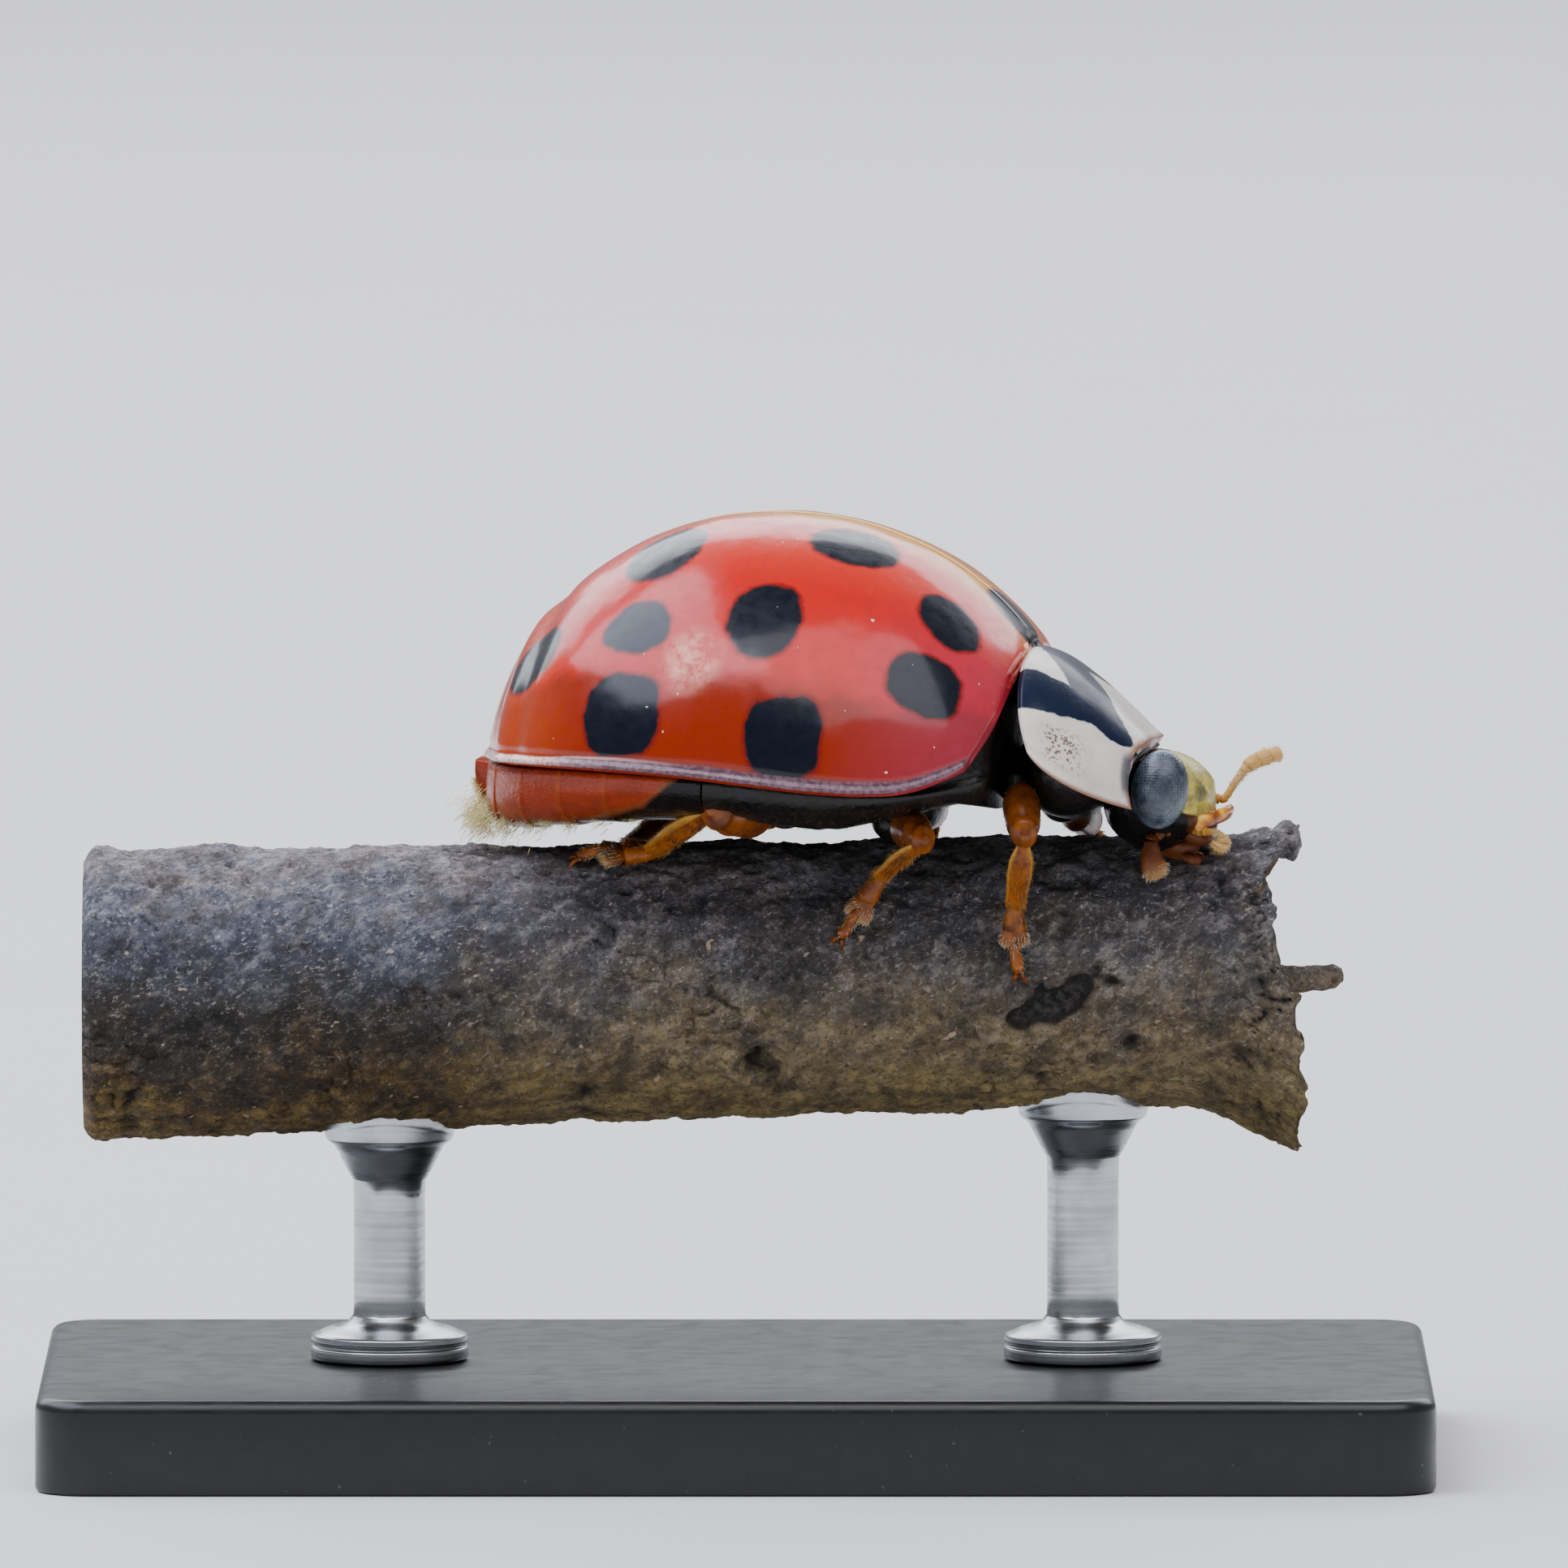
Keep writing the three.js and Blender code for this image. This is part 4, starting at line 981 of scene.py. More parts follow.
class LADYBIRD_OT_head(Operator):
    """Make the head capsule, eyes, mouthparts, palps and antennae"""
    bl_idname = "ladybird.head"
    bl_label = "Head"

    def execute(self, context):
        wanted = context.scene.ladybird_head
        cap = head_points()
        x, y, z = np.moveaxis(cap, -1, 0)
        low = hold((0.17 - z) / 0.06)
        body = loft(cap, nape=np.maximum(hold((3.86 - x) / 0.08), low * hold((4.16 - x) / 0.06)),
                    muzzle=low * hold((x - 3.95) / 0.08),
                    stain=hill(z - 0.36, 0.1) * hill(np.abs(y) - 0.4, 0.14) * hold((x - 3.98) / 0.05))
        piece("head_capsule", moved(body, on_head), face_chitin(wanted), "head", "head")
        lens = eye_lens(wanted)
        palps = feeler_chitin("Thin chitin, brown", wanted.palp, "#b98752")
        feelers = feeler_chitin("Thin chitin, golden", wanted.feeler, "#d9ab62")
        mouth = [ball((4.16, 0, -0.08), (0.24, 0.3, 0.1), 24, 40), ball((3.98, 0, -0.2), (0.2, 0.26, 0.14), 24, 40)]
        for side, name in ((RIGHT, "right"), (LEFT, "left")):
            at, half = np.array(EYE["at"]) * (1, side, 1), np.array(EYE["half"])
            eye = ball(at, half, 60, 80, turned("z", side * 12))
            eye["marks"]["deep"] = blob((eye["points"] - at) / half, (0.3, 0.9 * side, 0.05), (0.45, 1, 0.5))
            piece(f"eye_lens_{name}", moved(eye, on_head), lens, "compound_eye", f"eye_{name}")
            piece(f"jaw_palp_{name}", moved(palp(FEELERS[f"palp_{name}"]), on_neck), palps, "limb", f"palp_{name}")
            piece(f"antenna_beads_{name}", moved(antenna(FEELERS[f"antenna_{name}"]), on_neck), feelers, "feeler",
                  f"antenna_{name}")
            for path, sizes, count, around in (
                    ([(4.0, 0.3, -0.04), (4.2, 0.3, -0.08), (4.36, 0.12, -0.1)], [(0, 0.06), (0.5, 0.08), (1, 0.02)],
                     20, 16),
                    ([(3.96, 0.14, -0.26), (4.12, 0.2, -0.3), (4.22, 0.18, -0.33)],
                     [(0, 0.03), (0.7, 0.055), (1, 0.03)], 16, 14)):
                mouth.append(tube(curve(np.array(path) * (1, side, 1), count), swell(sizes, count), around=around))
        piece("mouthparts_jaws", moved(joined(mouth), on_neck), palps, "limb", "mouthparts")
        half_rim = np.array([(4.1, -0.44, 0.0), (4.24, -0.38, 0.07), (4.38, -0.2, 0.15), (4.42, 0, 0.18)])
        tall = swell([(0, 0.02), (0.12, 0.075), (0.5, 0.06), (0.88, 0.075), (1, 0.02)], 70)
        rim = tube(curve([*half_rim, *half_rim[-2::-1] * (1, -1, 1)], 70), tall * 0.7, tall, around=24)
        rim["points"] += 0.012 * lumps(rim["points"], 0.1, 45)[:, None]
        lip = joined([rim, ball((4.24, 0, 0.08), (0.17, 0.36, 0.06), 24, 40, turned("y", -25))])
        piece("upper_lip", moved(lip, on_neck), lip_chitin(), "head", "mouthparts")
        return {"FINISHED"}


# --- Legs ---

def leg_stations(leg):
    """Hip, knee, ankle, pad end and claw end of a leg, in row-frame millimetres."""
    return hip_frame(leg)(leg["hip"]), in_row(leg["knee"]), *(on_twig(*place) for place in leg["foot"])


def claw(start, way, out, size):
    """Hooked claw: a quarter turn from way towards the bark, with its radius falling to a point."""
    t = np.linspace(0, 1, 12)[:, None]
    path = start + size * (np.sin(t * QUARTER) * way + (1 - np.cos(t * QUARTER)) * out)
    return tube(path, 0.022 * (1 - 0.92 * t[:, 0] ** 1.5), around=10, up=np.cross(way, out))


def femur(leg):
    """Thigh: a flattened club, broadest past its middle, with a rounded knee and a rim where the shin is hinged."""
    hip, knee = leg_stations(leg)[:2]
    path = curve([hip, (hip + knee) / 2 + (0, 0, 0.05), knee + unit(knee - hip) * 0.08], BONE)
    wide = swell([(0, 0.1), (0.2, 0.6), (0.5, 1.0), (0.75, 0.92), (0.88, 0.68), (0.92, 0.7), (1, 0.2)], BONE)
    wide = wide * leg["thigh"]
    # The dusk mark is for painted shade: the thigh is painted darker towards the hip, where it runs under the body.
    return tube(path, wide * 0.8, wide, around=36, dusk=np.linspace(1, 0.3, BONE)[:, None])


def tibia(leg):
    """Shin: a flattened blade, slim at the knee, widening slowly to a cut end with a rim."""
    knee, ankle = leg_stations(leg)[1:3]
    path = curve([knee, (knee + ankle) / 2 + (0, 0, 0.01), ankle], BONE)
    wide = swell([(0, 0.05), (0.1, 0.06), (0.38, 0.112), (0.55, 0.118), (0.78, 0.1), (0.9, 0.1), (0.96, 0.095),
                  (1, 0.05)], BONE) * (leg["thigh"] / SLIM_THIGH) ** 0.8
    # The blade's two thin edges are marked for a painted highlight.
    return tube(path, wide, wide * 0.62, up=(0, -leg["side"] * 0.5, 1), around=32, square=1.6,
                fringe=np.abs(np.cos(ring(32))) * np.linspace(1, 0.8, BONE)[:, None])


def tarsus(leg):
    """Foot's parts: a cup-shaped first joint, a second one split into two broad pads, a slim claw joint and two
    claws."""
    ankle, pad, tip = leg_stations(leg)[2:]
    way = unit(tip - ankle)
    inward = unit((pad * (1, 0, 0) + (0, 0, TWIG["axis"])) - pad)
    across = unit(np.cross(way, inward))
    size = leg["thigh"] / SLIM_THIGH
    first = curve([ankle - way * 0.03, ankle + (pad - ankle) * 0.25, ankle + (pad - ankle) * 0.55], FOOT)
    wide = size * swell([(0, 0.06), (0.4, 0.09), (0.9, 0.11), (1, 0.08)], FOOT)
    parts = [tube(first, wide, wide * 0.8, up=inward, around=20)]
    start = ankle + (pad - ankle) * 0.42
    wide = size * swell([(0, 0.06), (0.6, 0.09), (0.92, 0.09), (1, 0.045)], FOOT)
    for side in (-1, 1):
        lobe = [start, start + (pad - start) * 0.5 + across * side * 0.04, pad + across * side * 0.06 * size]
        parts.append(tube(curve(lobe, FOOT), wide, wide * 0.55, up=inward, around=18,
                          sole=np.linspace(0, 1, FOOT)[:, None] ** 3))
    slim = curve([pad - (pad - start) * 0.35 - inward * 0.04, pad - inward * 0.05, tip - inward * 0.02], FOOT)
    parts.append(tube(slim, swell([(0, 0.035), (0.5, 0.05), (0.9, 0.062), (1, 0.035)], FOOT), up=inward, around=16))
    for side in (-1, 1):
        parts.append(claw(tip + across * side * 0.02, unit(way + across * side * 0.6), inward, 0.11))
    return parts


class LegSettings(PropertyGroup):
    amber: colour("Amber", "Colour of the legs", "#a5580e")
    brown: colour("Brown", "Colour of the thighs' darker parts", "#5a2a0a")
    pad: colour("Pad", "Colour of the foot pads", "#b08a55")


def leg_chitin(wanted):
    """Legs: translucent amber chitin, browner in patches, with fine wrinkles 0.05 mm apart and a wet gloss. The
    thighs are painted darker towards the hip as shade where they run in under the body, and the thin edges of the
    shins are painted paler as a highlight."""
    add, place, dusk, sole, fringe = finish(
        "Translucent chitin, amber brown", "dusk", "sole", "fringe", radius=(1.0, 0.4, 0.12), IOR=1.5,
        Specular_IOR_Level=0.22, Coat_Weight=0.2, Coat_Roughness=0.18, Subsurface_Weight=0.3,
        Subsurface_Scale=0.12 * MM)
    cloud = add("TexNoise", place, cells(0.16), 4)
    skin = coats(add, wanted.amber,
                 (wanted.brown, (cloud, 0.35, 0.65)),
                 # Painted shade: each thigh darker towards the hip.
                 (wanted.brown, (dusk, 0, 1, 0, 0.85)),
                 # Painted highlight: paler along the shins' thin edges.
                 ("#d29c3c", (fringe, 0.68, 0.92, 0, 0.85)),
                 (wanted.pad, (sole, 0.2, 0.9, 0, 0.85)))
    return dress(add, skin, (cloud, 0.3, 0.7, 0.26, 0.5), (add("TexNoise", place, cells(0.05), 3), 0.008, 0.6))


class LADYBIRD_OT_legs(Operator):
    """Make the six legs, each of a thigh, a shin and a clawed foot"""
    bl_idname = "ladybird.legs"
    bl_label = "Legs"

    def execute(self, context):
        material = leg_chitin(context.scene.ladybird_legs)
        for name, leg in LEGS.items():
            piece(f"thigh_{name}", femur(leg), material, "limb", f"femur_{name}")
            piece(f"shin_{name}", tibia(leg), material, "limb", f"tibia_{name}")
            piece(f"foot_{name}", joined(tarsus(leg)), material, "limb", f"tarsus_{name}")
        return {"FINISHED"}


# --- Hairs ---

TUFTS = [  # place on the flank (mm), how many hairs, how far scattered and how long (mm)
    (-2.66, 0.5, -0.66, 420, 0.09, 0.12), (-2.56, 0.75, -0.72, 320, 0.08, 0.12), (-2.3, 0.95, -0.72, 160, 0.07, 0.1),
    (-2.7, 0.2, -0.66, 160, 0.09, 0.1),
    (-2.05, 1.05, -0.66, 90, 0.06, 0.1), (-1.85, 1.2, -0.6, 60, 0.04, 0.1), (-1.62, 1.22, -0.58, 60, 0.04, 0.1),
    (-1.32, 1.3, -0.5, 50, 0.04, 0.1), (-1.0, 1.33, -0.4, 50, 0.04, 0.1),
]


class HairSettings(PropertyGroup):
    gold: colour("Gold", "Colour of the leg hairs", "#c08434")
    pale: colour("Pale", "Colour of the long hairs at the tail and belly", "#ffeca0")
    white: colour("White", "Colour of the fuzz on the foot pads, palps and antennae", "#f0dcb4")
    dusk: colour("Dusk", "Colour of the short hairs on the trunk", "#7a5030")
    width: length("Width", "Thickness of one hair at its root", 0.006)


def hair_keratin(name, code):
    """Insect hair: clear chitin bristle that glows at the edges when lit from behind."""
    add, place = finish(name, IOR=1.5, Roughness=0.4, Subsurface_Weight=0.2, Subsurface_Scale=0.05 * MM)
    cloud = add("TexNoise", place, cells(0.3), 2)
    return dress(add, coats(add, code, (dimmed(code, 0.75), (cloud, 0.3, 0.7))))


def surface_hairs(points, count, seed, long, lean, rows, cols, tile, width):
    """Hairs sown over shares of a grid surface's rows and columns, standing out and leaning along its rows."""
    rng = np.random.default_rng(seed)
    n, m = points.shape[:2]
    r, c = rng.uniform(*rows, count), rng.uniform(*cols, count)
    i = np.minimum((r * (n - 1)).astype(int), n - 2)
    j = np.minimum((c * (m - 1)).astype(int), m - 2)
    roots = points[i, j]
    along = unit(points[i + 1, j] - roots)
    normal = unit(np.cross(points[i, j + 1] - roots, along))
    inside = np.einsum("ij,ij->i", normal, roots - points.reshape(-1, 3).mean(0))[:, None] < 0
    outward = np.where(inside, -normal, normal)
    ways = outward + lean * along + rng.normal(0, 0.25, roots.shape)
    return hairs(roots - outward * 0.005, ways, rng.uniform(0.6, 1.2, count) * long, width, 0, tile,
                 together(r, c), seed)


def tuft(at, way, count, spread, long, seed):
    """Bunch of hairs in row-frame millimetres: roots scattered round one place, tips fanned about one direction."""
    rng = np.random.default_rng(seed)
    roots = np.array(at) + rng.normal(0, 1, (count, 3)) * spread
    ways = np.array(way) + rng.normal(0, 0.3, (count, 3))
    share = rng.random((count, 2))
    long = rng.uniform(0.6, 1.2, count) * long
    return moved(hairs(roots, ways, long, 0.006, 0.1, (1, 7), share, seed), in_row)


def feeler_fuzz(order, name, stations, width):
    """Fuzz on the outer half of an antenna or palp: each hair stands off its nearest point of the path and leans
    towards the tip."""
    beaded = "antenna" in name
    beads = moved((antenna if beaded else palp)(stations), on_neck)
    rng = np.random.default_rng(200 + order)
    count = 520 if beaded else 160
    roots = beads["points"][rng.choice(np.flatnonzero(beads["marks"]["tip"] > 0.45), count)]
    core = on_neck(curve(stations, 200))
    near = core[np.argmin(((roots[:, None] - core[None]) ** 2).sum(-1), axis=1)]
    ways = unit(roots - near) + 0.9 * unit(core[-1] - core[-40]) + rng.normal(0, 0.2, (count, 3))
    share = rng.random((count, 2))
    return hairs(roots, ways, rng.uniform(0.02, 0.045, count), width, 0, (order, 6), share, 210 + order)


class LADYBIRD_OT_hairs(Operator):
    """Make the hairs of the legs, feet, tail and trunk, and the fuzz of the palps and antennae"""
    bl_idname = "ladybird.hairs"
    bl_label = "Hairs"

    def execute(self, context):
        wanted = context.scene.ladybird_hairs
        width = wanted.width / MM
        legs = []
        for order, leg in enumerate(LEGS.values()):
            shin, thigh = rings_of(tibia(leg), BONE), rings_of(femur(leg), BONE)
            cup, pad, other_pad, slim = (rings_of(part, FOOT) for part in tarsus(leg)[:4])
            legs.append([surface_hairs(skin, count, seed + order, long, lean, rows, (0, 1), (order, tile), width)
                         for tile, (skin, count, seed, long, lean, rows) in enumerate((
                             (shin, 260, 50, 0.055, 1.3, (0.2, 1)), (shin, 90, 150, 0.08, 1.6, (0.85, 1)),
                             (thigh, 200, 60, 0.045, 1.5, (0.15, 0.95)), (cup, 120, 70, 0.05, 1.6, (0, 1)),
                             (pad, 170, 80 + order, 0.045, 1.2, (0.4, 1)),
                             (other_pad, 170, 81 + order, 0.045, 1.2, (0.4, 1)),
                             (slim, 60, 180, 0.05, 1.6, (0.4, 1))))])
        back, chest = in_row(abdomen_points()), in_row(thorax_points())
        fur = [surface_hairs(back, 800, 92, 0.075, 0.5, (0.82, 0.97), (0.34, 0.66), (3, 7), width * 0.8)]
        for side, share in ((RIGHT, 1), (LEFT, 0.4)):
            fur += [tuft((x, side * y, z), (-0.6, side * 0.2, -0.7), round(count * share), spread, long, 300 + order)
                    for order, (x, y, z, count, spread, long) in enumerate(TUFTS)]
        sides = (0.05, 0.95), (0.26, 0.74)
        down = [surface_hairs(back, 1200, 91, 0.05, 1.4, *sides, (0, 7), width * 0.6),
                surface_hairs(chest, 900, 93, 0.05, 1.0, *sides, (2, 7), width * 0.6)]
        fuzz = [feeler_fuzz(order, *item, width * 0.7) for order, item in enumerate(FEELERS.items())]
        gold, pale, white, dusk = (hair_keratin(f"Insect bristle, {name}", code) for name, code in (
            ("golden", wanted.gold), ("pale yellow", wanted.pale), ("white", wanted.white), ("brown", wanted.dusk)))
        for name, parts, material, slot in (
                ("leg_hairs", [p for leg in legs for p in leg[:4]], gold, "limb"),
                ("foot_hairs", [p for leg in legs for p in leg[4:]], white, "limb"),
                ("belly_hairs", fur, pale, "abdomen"), ("trunk_hairs", down, dusk, "abdomen"),
                ("feeler_fuzz", fuzz, white, "feeler")):
            piece(name, joined(parts), material, slot)
        return {"FINISHED"}


# --- Twig ---

class TwigSettings(PropertyGroup):
    crack: colour("Crack", "Colour in the bark's cracks", "#0f0c0a")
    flake: colour("Flake", "Colour of the loose bark scales", "#c9c3c0")
    relief: length("Relief", "Depth of the bark's lumps", 0.05)


# Where the broken end stands (mm) at each turn from the top (degrees).
END_STOPS = [(0, 5.36), (25, 5.22), (47, 4.93), (60, 5.08), (75, 5.1), (90, 5.19), (105, 5.35), (130, 5.42),
             (142, 5.35), (160, 5.33), (180, 5.32)]
SPLINTERS = [  # stations, half sizes (share along, mm), how flat and how rough: the side stub and the end's prong
    ([(4.95, 0.5, 4.5), (5.35, 0.62, 4.48), (5.77, 0.75, 4.5)],
     [(0, 0.16), (0.5, 0.125), (0.9, 0.12), (1, 0.07)], 1.0, 0.35),
    ([(4.5, -0.25, 5.72), (5.0, -0.25, 5.84), (5.36, -0.22, 5.9)],
     [(0, 0.2), (0.6, 0.19), (0.9, 0.22), (1, 0.1)], 0.8, 1.0),
]
# Scars: place along (mm), turn from the top (degrees), half length, half width and depth (mm).
SCARS = [(0.25, 122, 0.3, 0.24, 0.08), (3.74, 118, 0.18, 0.16, 0.06), (3.81, 141, 0.22, 0.18, 0.05)]
RING_ANGLE = 46.0  # seven growth rings between the bark and the middle of an end face, as an angle


def bark_lift(x, turn, relief):
    """Relief of the bark (mm): long ridges, lumps of five sizes, sharp furrows, splits round the broken end, scars
    and a torn pit. A furrow or split is where a random field passes through nought, 1 - |field|."""
    x, turn = np.broadcast_arrays(x, turn)
    angle = np.radians(turn)
    place = together(x, np.sin(angle) * 1.3, np.cos(angle) * 1.3)
    long_place = place * (0.35, 1, 1)
    ridges = 0.6 * lumps(long_place, 0.22, 61)
    for height, size, seed in ((0.7, 0.7, 62), (0.45, 0.24, 63), (0.4, 0.12, 64), (0.3, 0.065, 65), (0.22, 0.04, 68)):
        ridges += height * lumps(place, size, seed)
    furrow = np.abs(lumps(long_place, 0.3, 66) + 0.5 * lumps(place, 0.15, 67))
    split = np.abs(lumps(place * (1.8, 0.6, 0.6), 0.24, 74) + 0.5 * lumps(place, 0.1, 75))
    lift = relief * ridges - 0.05 * hill(furrow, 0.05) * hold(0.5 + 1.2 * lumps(place, 0.9, 69))
    lift -= 0.05 * hill(split, 0.07) * hold((x - 4.5) / 0.5)
    for at, side, half_long, half_round, depth in SCARS:
        gap = np.hypot((x - at) / half_long, (turn - side) / np.degrees(half_round / 1.3))
        lift += depth * (0.9 * hill(gap - 1, 0.22) - 1.1 * hill(gap, 0.75))
    torn = np.hypot((x - 3.02) / 0.66, (turn - 95 - 9 * np.sin(x * 3)) / 11)
    torn += 0.3 * lumps(place, 0.18, 70) + 0.16 * lumps(place, 0.07, 76)
    lift += 0.06 * hill(torn - 1.2, 0.2) * hold((turn - 92) / 8) - 0.12 * hill(np.maximum(torn - 0.45, 0), 0.3)
    return lift


def twig_points(relief):
    """Twig: rings along X of radius R(x) + bark, flaring to a broken right end, and both end faces drawn in to the
    axis: a flat sawn one on the left, and a hollow splintered one on the right. Also the relief of the rings and how
    many rings make a face."""
    rows, around, face = 320, 264, 14
    turn = np.linspace(-180, 180, around, endpoint=False)[None]
    angle = np.radians(turn)
    wide, up = np.sin(angle), np.cos(angle)
    rag = together(0, 1.3 * wide, 1.3 * up)
    end = np.interp(np.abs(turn), *np.array(END_STOPS).T) + 0.05 * lumps(rag, 0.16, 71) + 0.03 * lumps(rag, 0.07, 72)
    x = TWIG["left"] + (end - TWIG["left"]) * np.linspace(0, 1, rows)[:, None]
    rough = bark_lift(x, turn, relief)
    lift = rough + hold((x - 3.9) / 1.45) ** 2 * (0.1 + 0.21 * (1 - up))
    lift -= 0.12 * hold((TWIG["left"] + 0.12 - x) / 0.12) ** 2
    core = 1 - np.linspace(0, 1, face + 1)[1:, None] * 0.985
    left = on_twig(TWIG["left"], turn, lift[:1] - (1 - core) * (1.37 + lift[:1]))
    hollow = end.mean() + (end - end.mean()) * core ** 2 - (1 - core ** 3) * 0.42
    hollow += 0.12 * lumps(together(0, core * 1.2 * wide, core * 1.2 * up), 0.12, 73) * (1 - core ** 6)
    right = on_twig(hollow, turn, lift[-1:] - (1 - core) * (1.25 + lift[-1:]))
    return np.concatenate([left[::-1], on_twig(x, turn, lift), right]), rough, face


def bark(wanted):
    """Dead twig bark: weathered cork in bands by height, which paint light as well as its colour: pale on top where
    light falls from above, slate blue on the flank as a painted sky reflection, black below that, and brown and then
    ochre below, brightened as painted light from beneath. Over the right part, under the beetle and out to the broken
    end, it is greyer and more even and darker on top, as the beetle's painted shadow. Slanted silvery scales 0.05 to
    0.15 mm long, black pores and a few tan flakes are scattered on it, high ridges are paler as a painted highlight
    and pale crust, and the cracks and the torn pit's floor are painted near black as shade, the floor grainy. Its end
    faces show dry wood with growth rings."""
    add, place, relief, core = finish("Weathered bark", "relief", "core", IOR=1.45, Specular_IOR_Level=0.5)
    big = add("TexNoise", place, cells(1.1), 5, 0.65)
    mid = add("TexNoise", place, cells(0.4), 8, 0.72)
    fine = add("TexNoise", place, cells(0.08), 4, 0.7)
    slant = add("Mapping", add("Mapping", place, Rotation=(0, 0.5, 0)), Scale=(0.62, 1, 1))
    scale = add("TexNoise", slant, cells(0.038), 3, 0.7)
    grain = add("TexNoise", slant, cells(0.12), 4, 0.7)
    chips = add("TexNoise", slant, cells(0.13), 2)
    grit = add("TexNoise", add("Mapping", place, Location=(0.011, 0.017, 0.003)), cells(0.045), 3, 0.7)
    patch = add("TexNoise", add("Mapping", place, Location=(0.007, 0.003, 0.013)), cells(0.6), 6, 0.7)
    spread = add("Math", add("MapRange", big, 0.3, 0.7, -0.12, 0.12), add("MapRange", mid, 0.3, 0.7, -0.14, 0.14))
    level, reach = (add("Math", add("MapRange", add("SeparateXYZ", place, out=axis), low * MM, high * MM), spread)
                    for axis, low, high in (("Z", 3.2, 5.9), ("X", -3.2, -1.2)))
    # Ramps by height that paint light as well as the bark's colour. The first: pale on top where light falls from
    # above, slate blue on the flank as a painted sky reflection, dark below that, and brown then ochre at the bottom,
    # brightened as painted light from beneath. The second, over the right part under the beetle: greyer and more
    # even, darker on top as the beetle's painted shadow.
    tone_and_light_ramp, tone_and_shadow_ramp, dry = (add("ValToRGB", level, stops=stops) for stops in (
        [(0.02, "#8a6f38"), (0.14, "#5c4626"), (0.34, "#372d22"), (0.5, "#35322f"), (0.64, "#4a5164"),
         (0.77, "#7c818e"), (0.86, "#a9a3a8"), (0.95, "#b5acae")],
        [(0.06, "#b39a62"), (0.2, "#ac9568"), (0.38, "#8c7a5b"), (0.66, "#706865"), (0.8, "#58545a"),
         (0.92, "#8d878a")],
        [(0.1, "#a58c58"), (0.3, "#7d7263"), (0.6, "#a39a94")]))
    flake = mask(add, (scale, 0.56, 0.68), (level, 0.1, 0.9, 0.25, 0.85), (mid, 0.42, 0.55, 1, 0.35))
    rings = add("Math", add("Math", core, RING_ANGLE, operation="MULTIPLY"), operation="SINE")
    wood = coats(add, "#826743", ("#352617", (fine, 0.35, 0.65)), ("#4c3823", (rings, -1, 1, 0, 0.5)))
    # The torn pit's floor: painted shade, near black and grainy.
    floor = coats(add, "#0b0a0b", ("#504a48", (fine, 0.42, 0.62)))
    skin = coats(add, tone_and_light_ramp,
                 (tone_and_shadow_ramp, reach),
                 # Blue-grey patches on the upper half: bark tone, and part of the painted sky reflection.
                 ("#6b7079", (patch, 0.5, 0.62, 0, 0.6), (level, 0.3, 0.6)),
                 ("#66533b", (patch, 0.46, 0.34, 0, 0.6)),
                 ("#2a2420", (grain, 0.45, 0.6, 0.5, 0)),
                 (dry, (grain, 0.52, 0.66, 0, 0.4)),
                 ("#1f1b19", (mid, 0.47, 0.62, 0, 0.6)),
                 ("#15110f", (grit, 0.55, 0.66, 0, 0.65)),
                 (wanted.flake, flake),
                 # Painted highlight and pale crust: high ridges are paler tan.
                 ("#a8957c", (relief, 0.06, 0.11, 0, 0.5)),
                 # Painted shade: the cracks and the torn pit's floor darken with the depth of the relief.
                 (wanted.crack, (relief, -0.02, -0.07, 0, 0.9)),
                 (floor, (relief, -0.1, -0.13, 0, 0.85)),
                 ("#c0a488", (chips, 0.72, 0.74, 0, 0.85)),
                 (wood, (core, 0.06, 0.12)))
    return dress(add, skin, (flake, 0, 0.5, 0.8, 0.4), (scale, 0.03, 0.8), (fine, 0.05, 0.9), (mid, 0.12, 0.8))


class LADYBIRD_OT_twig(Operator):
    """Make the twig with its bark, scars and broken end"""
    bl_idname = "ladybird.twig"
    bl_label = "Twig"

    def execute(self, context):
        wanted = context.scene.ladybird_twig
        points, lift, face = twig_points(wanted.relief / MM)
        to_core = np.linspace(0.07, 1, face)
        core = np.r_[to_core[::-1], np.zeros(len(lift)), to_core]
        parts = [loft(points, core=core[:, None], relief=np.pad(lift, ((face, face), (0, 0))))]
        for stations, sizes, flat, rough in SPLINTERS:
            size = swell(sizes, 60)
            part = tube(curve(stations, 60), size, size * flat, around=48)
            bumps = rough * (0.03 * lumps(part["points"], 0.1, 74) + 0.02 * lumps(part["points"], 0.05, 75))
            part["points"] += bumps[:, None] * np.array([0.3, 1, 1])
            part["marks"]["relief"] = bumps - 0.02
            parts.append(part)
        piece("twig_bark", joined(parts), bark(wanted), "bark", "perch_twig")
        return {"FINISHED"}


# --- Stand and stage ---

def slab(half_x, half_y, height, bevel, corner):
    """Base: rounded-rectangle rings; the profile rises with a quarter-round foot and a bevelled, rounded top edge,
    and its flat faces run in to the middle."""
    v = np.linspace(0, QUARTER, 9)
    c, s, inner = 1 - np.cos(v), 1 - np.sin(v), half_y - bevel - 0.3
    flat = np.array([0.02, 0.3, 0.7])
    grow = np.r_[-0.5 * bevel - flat[::-1] * inner, -0.5 * bevel * s, -bevel * c, -bevel - flat * inner]
    level = np.r_[0, 0, 0, 0.5 * bevel * c, height - bevel * s, height, height, height]
    hx, hy, r = half_x + grow, half_y + grow, np.maximum(0.05, corner + grow)
    sides = []
    for k, (sx, sy) in enumerate(((1, 1), (-1, 1), (-1, -1), (1, -1))):
        turn = np.linspace(k * QUARTER, (k + 1) * QUARTER, 10)[:, None]
        sides.append(together(sx * (hx - r) + r * np.cos(turn), sy * (hy - r) + r * np.sin(turn), level))
    return loft(np.concatenate(sides).swapaxes(0, 1))


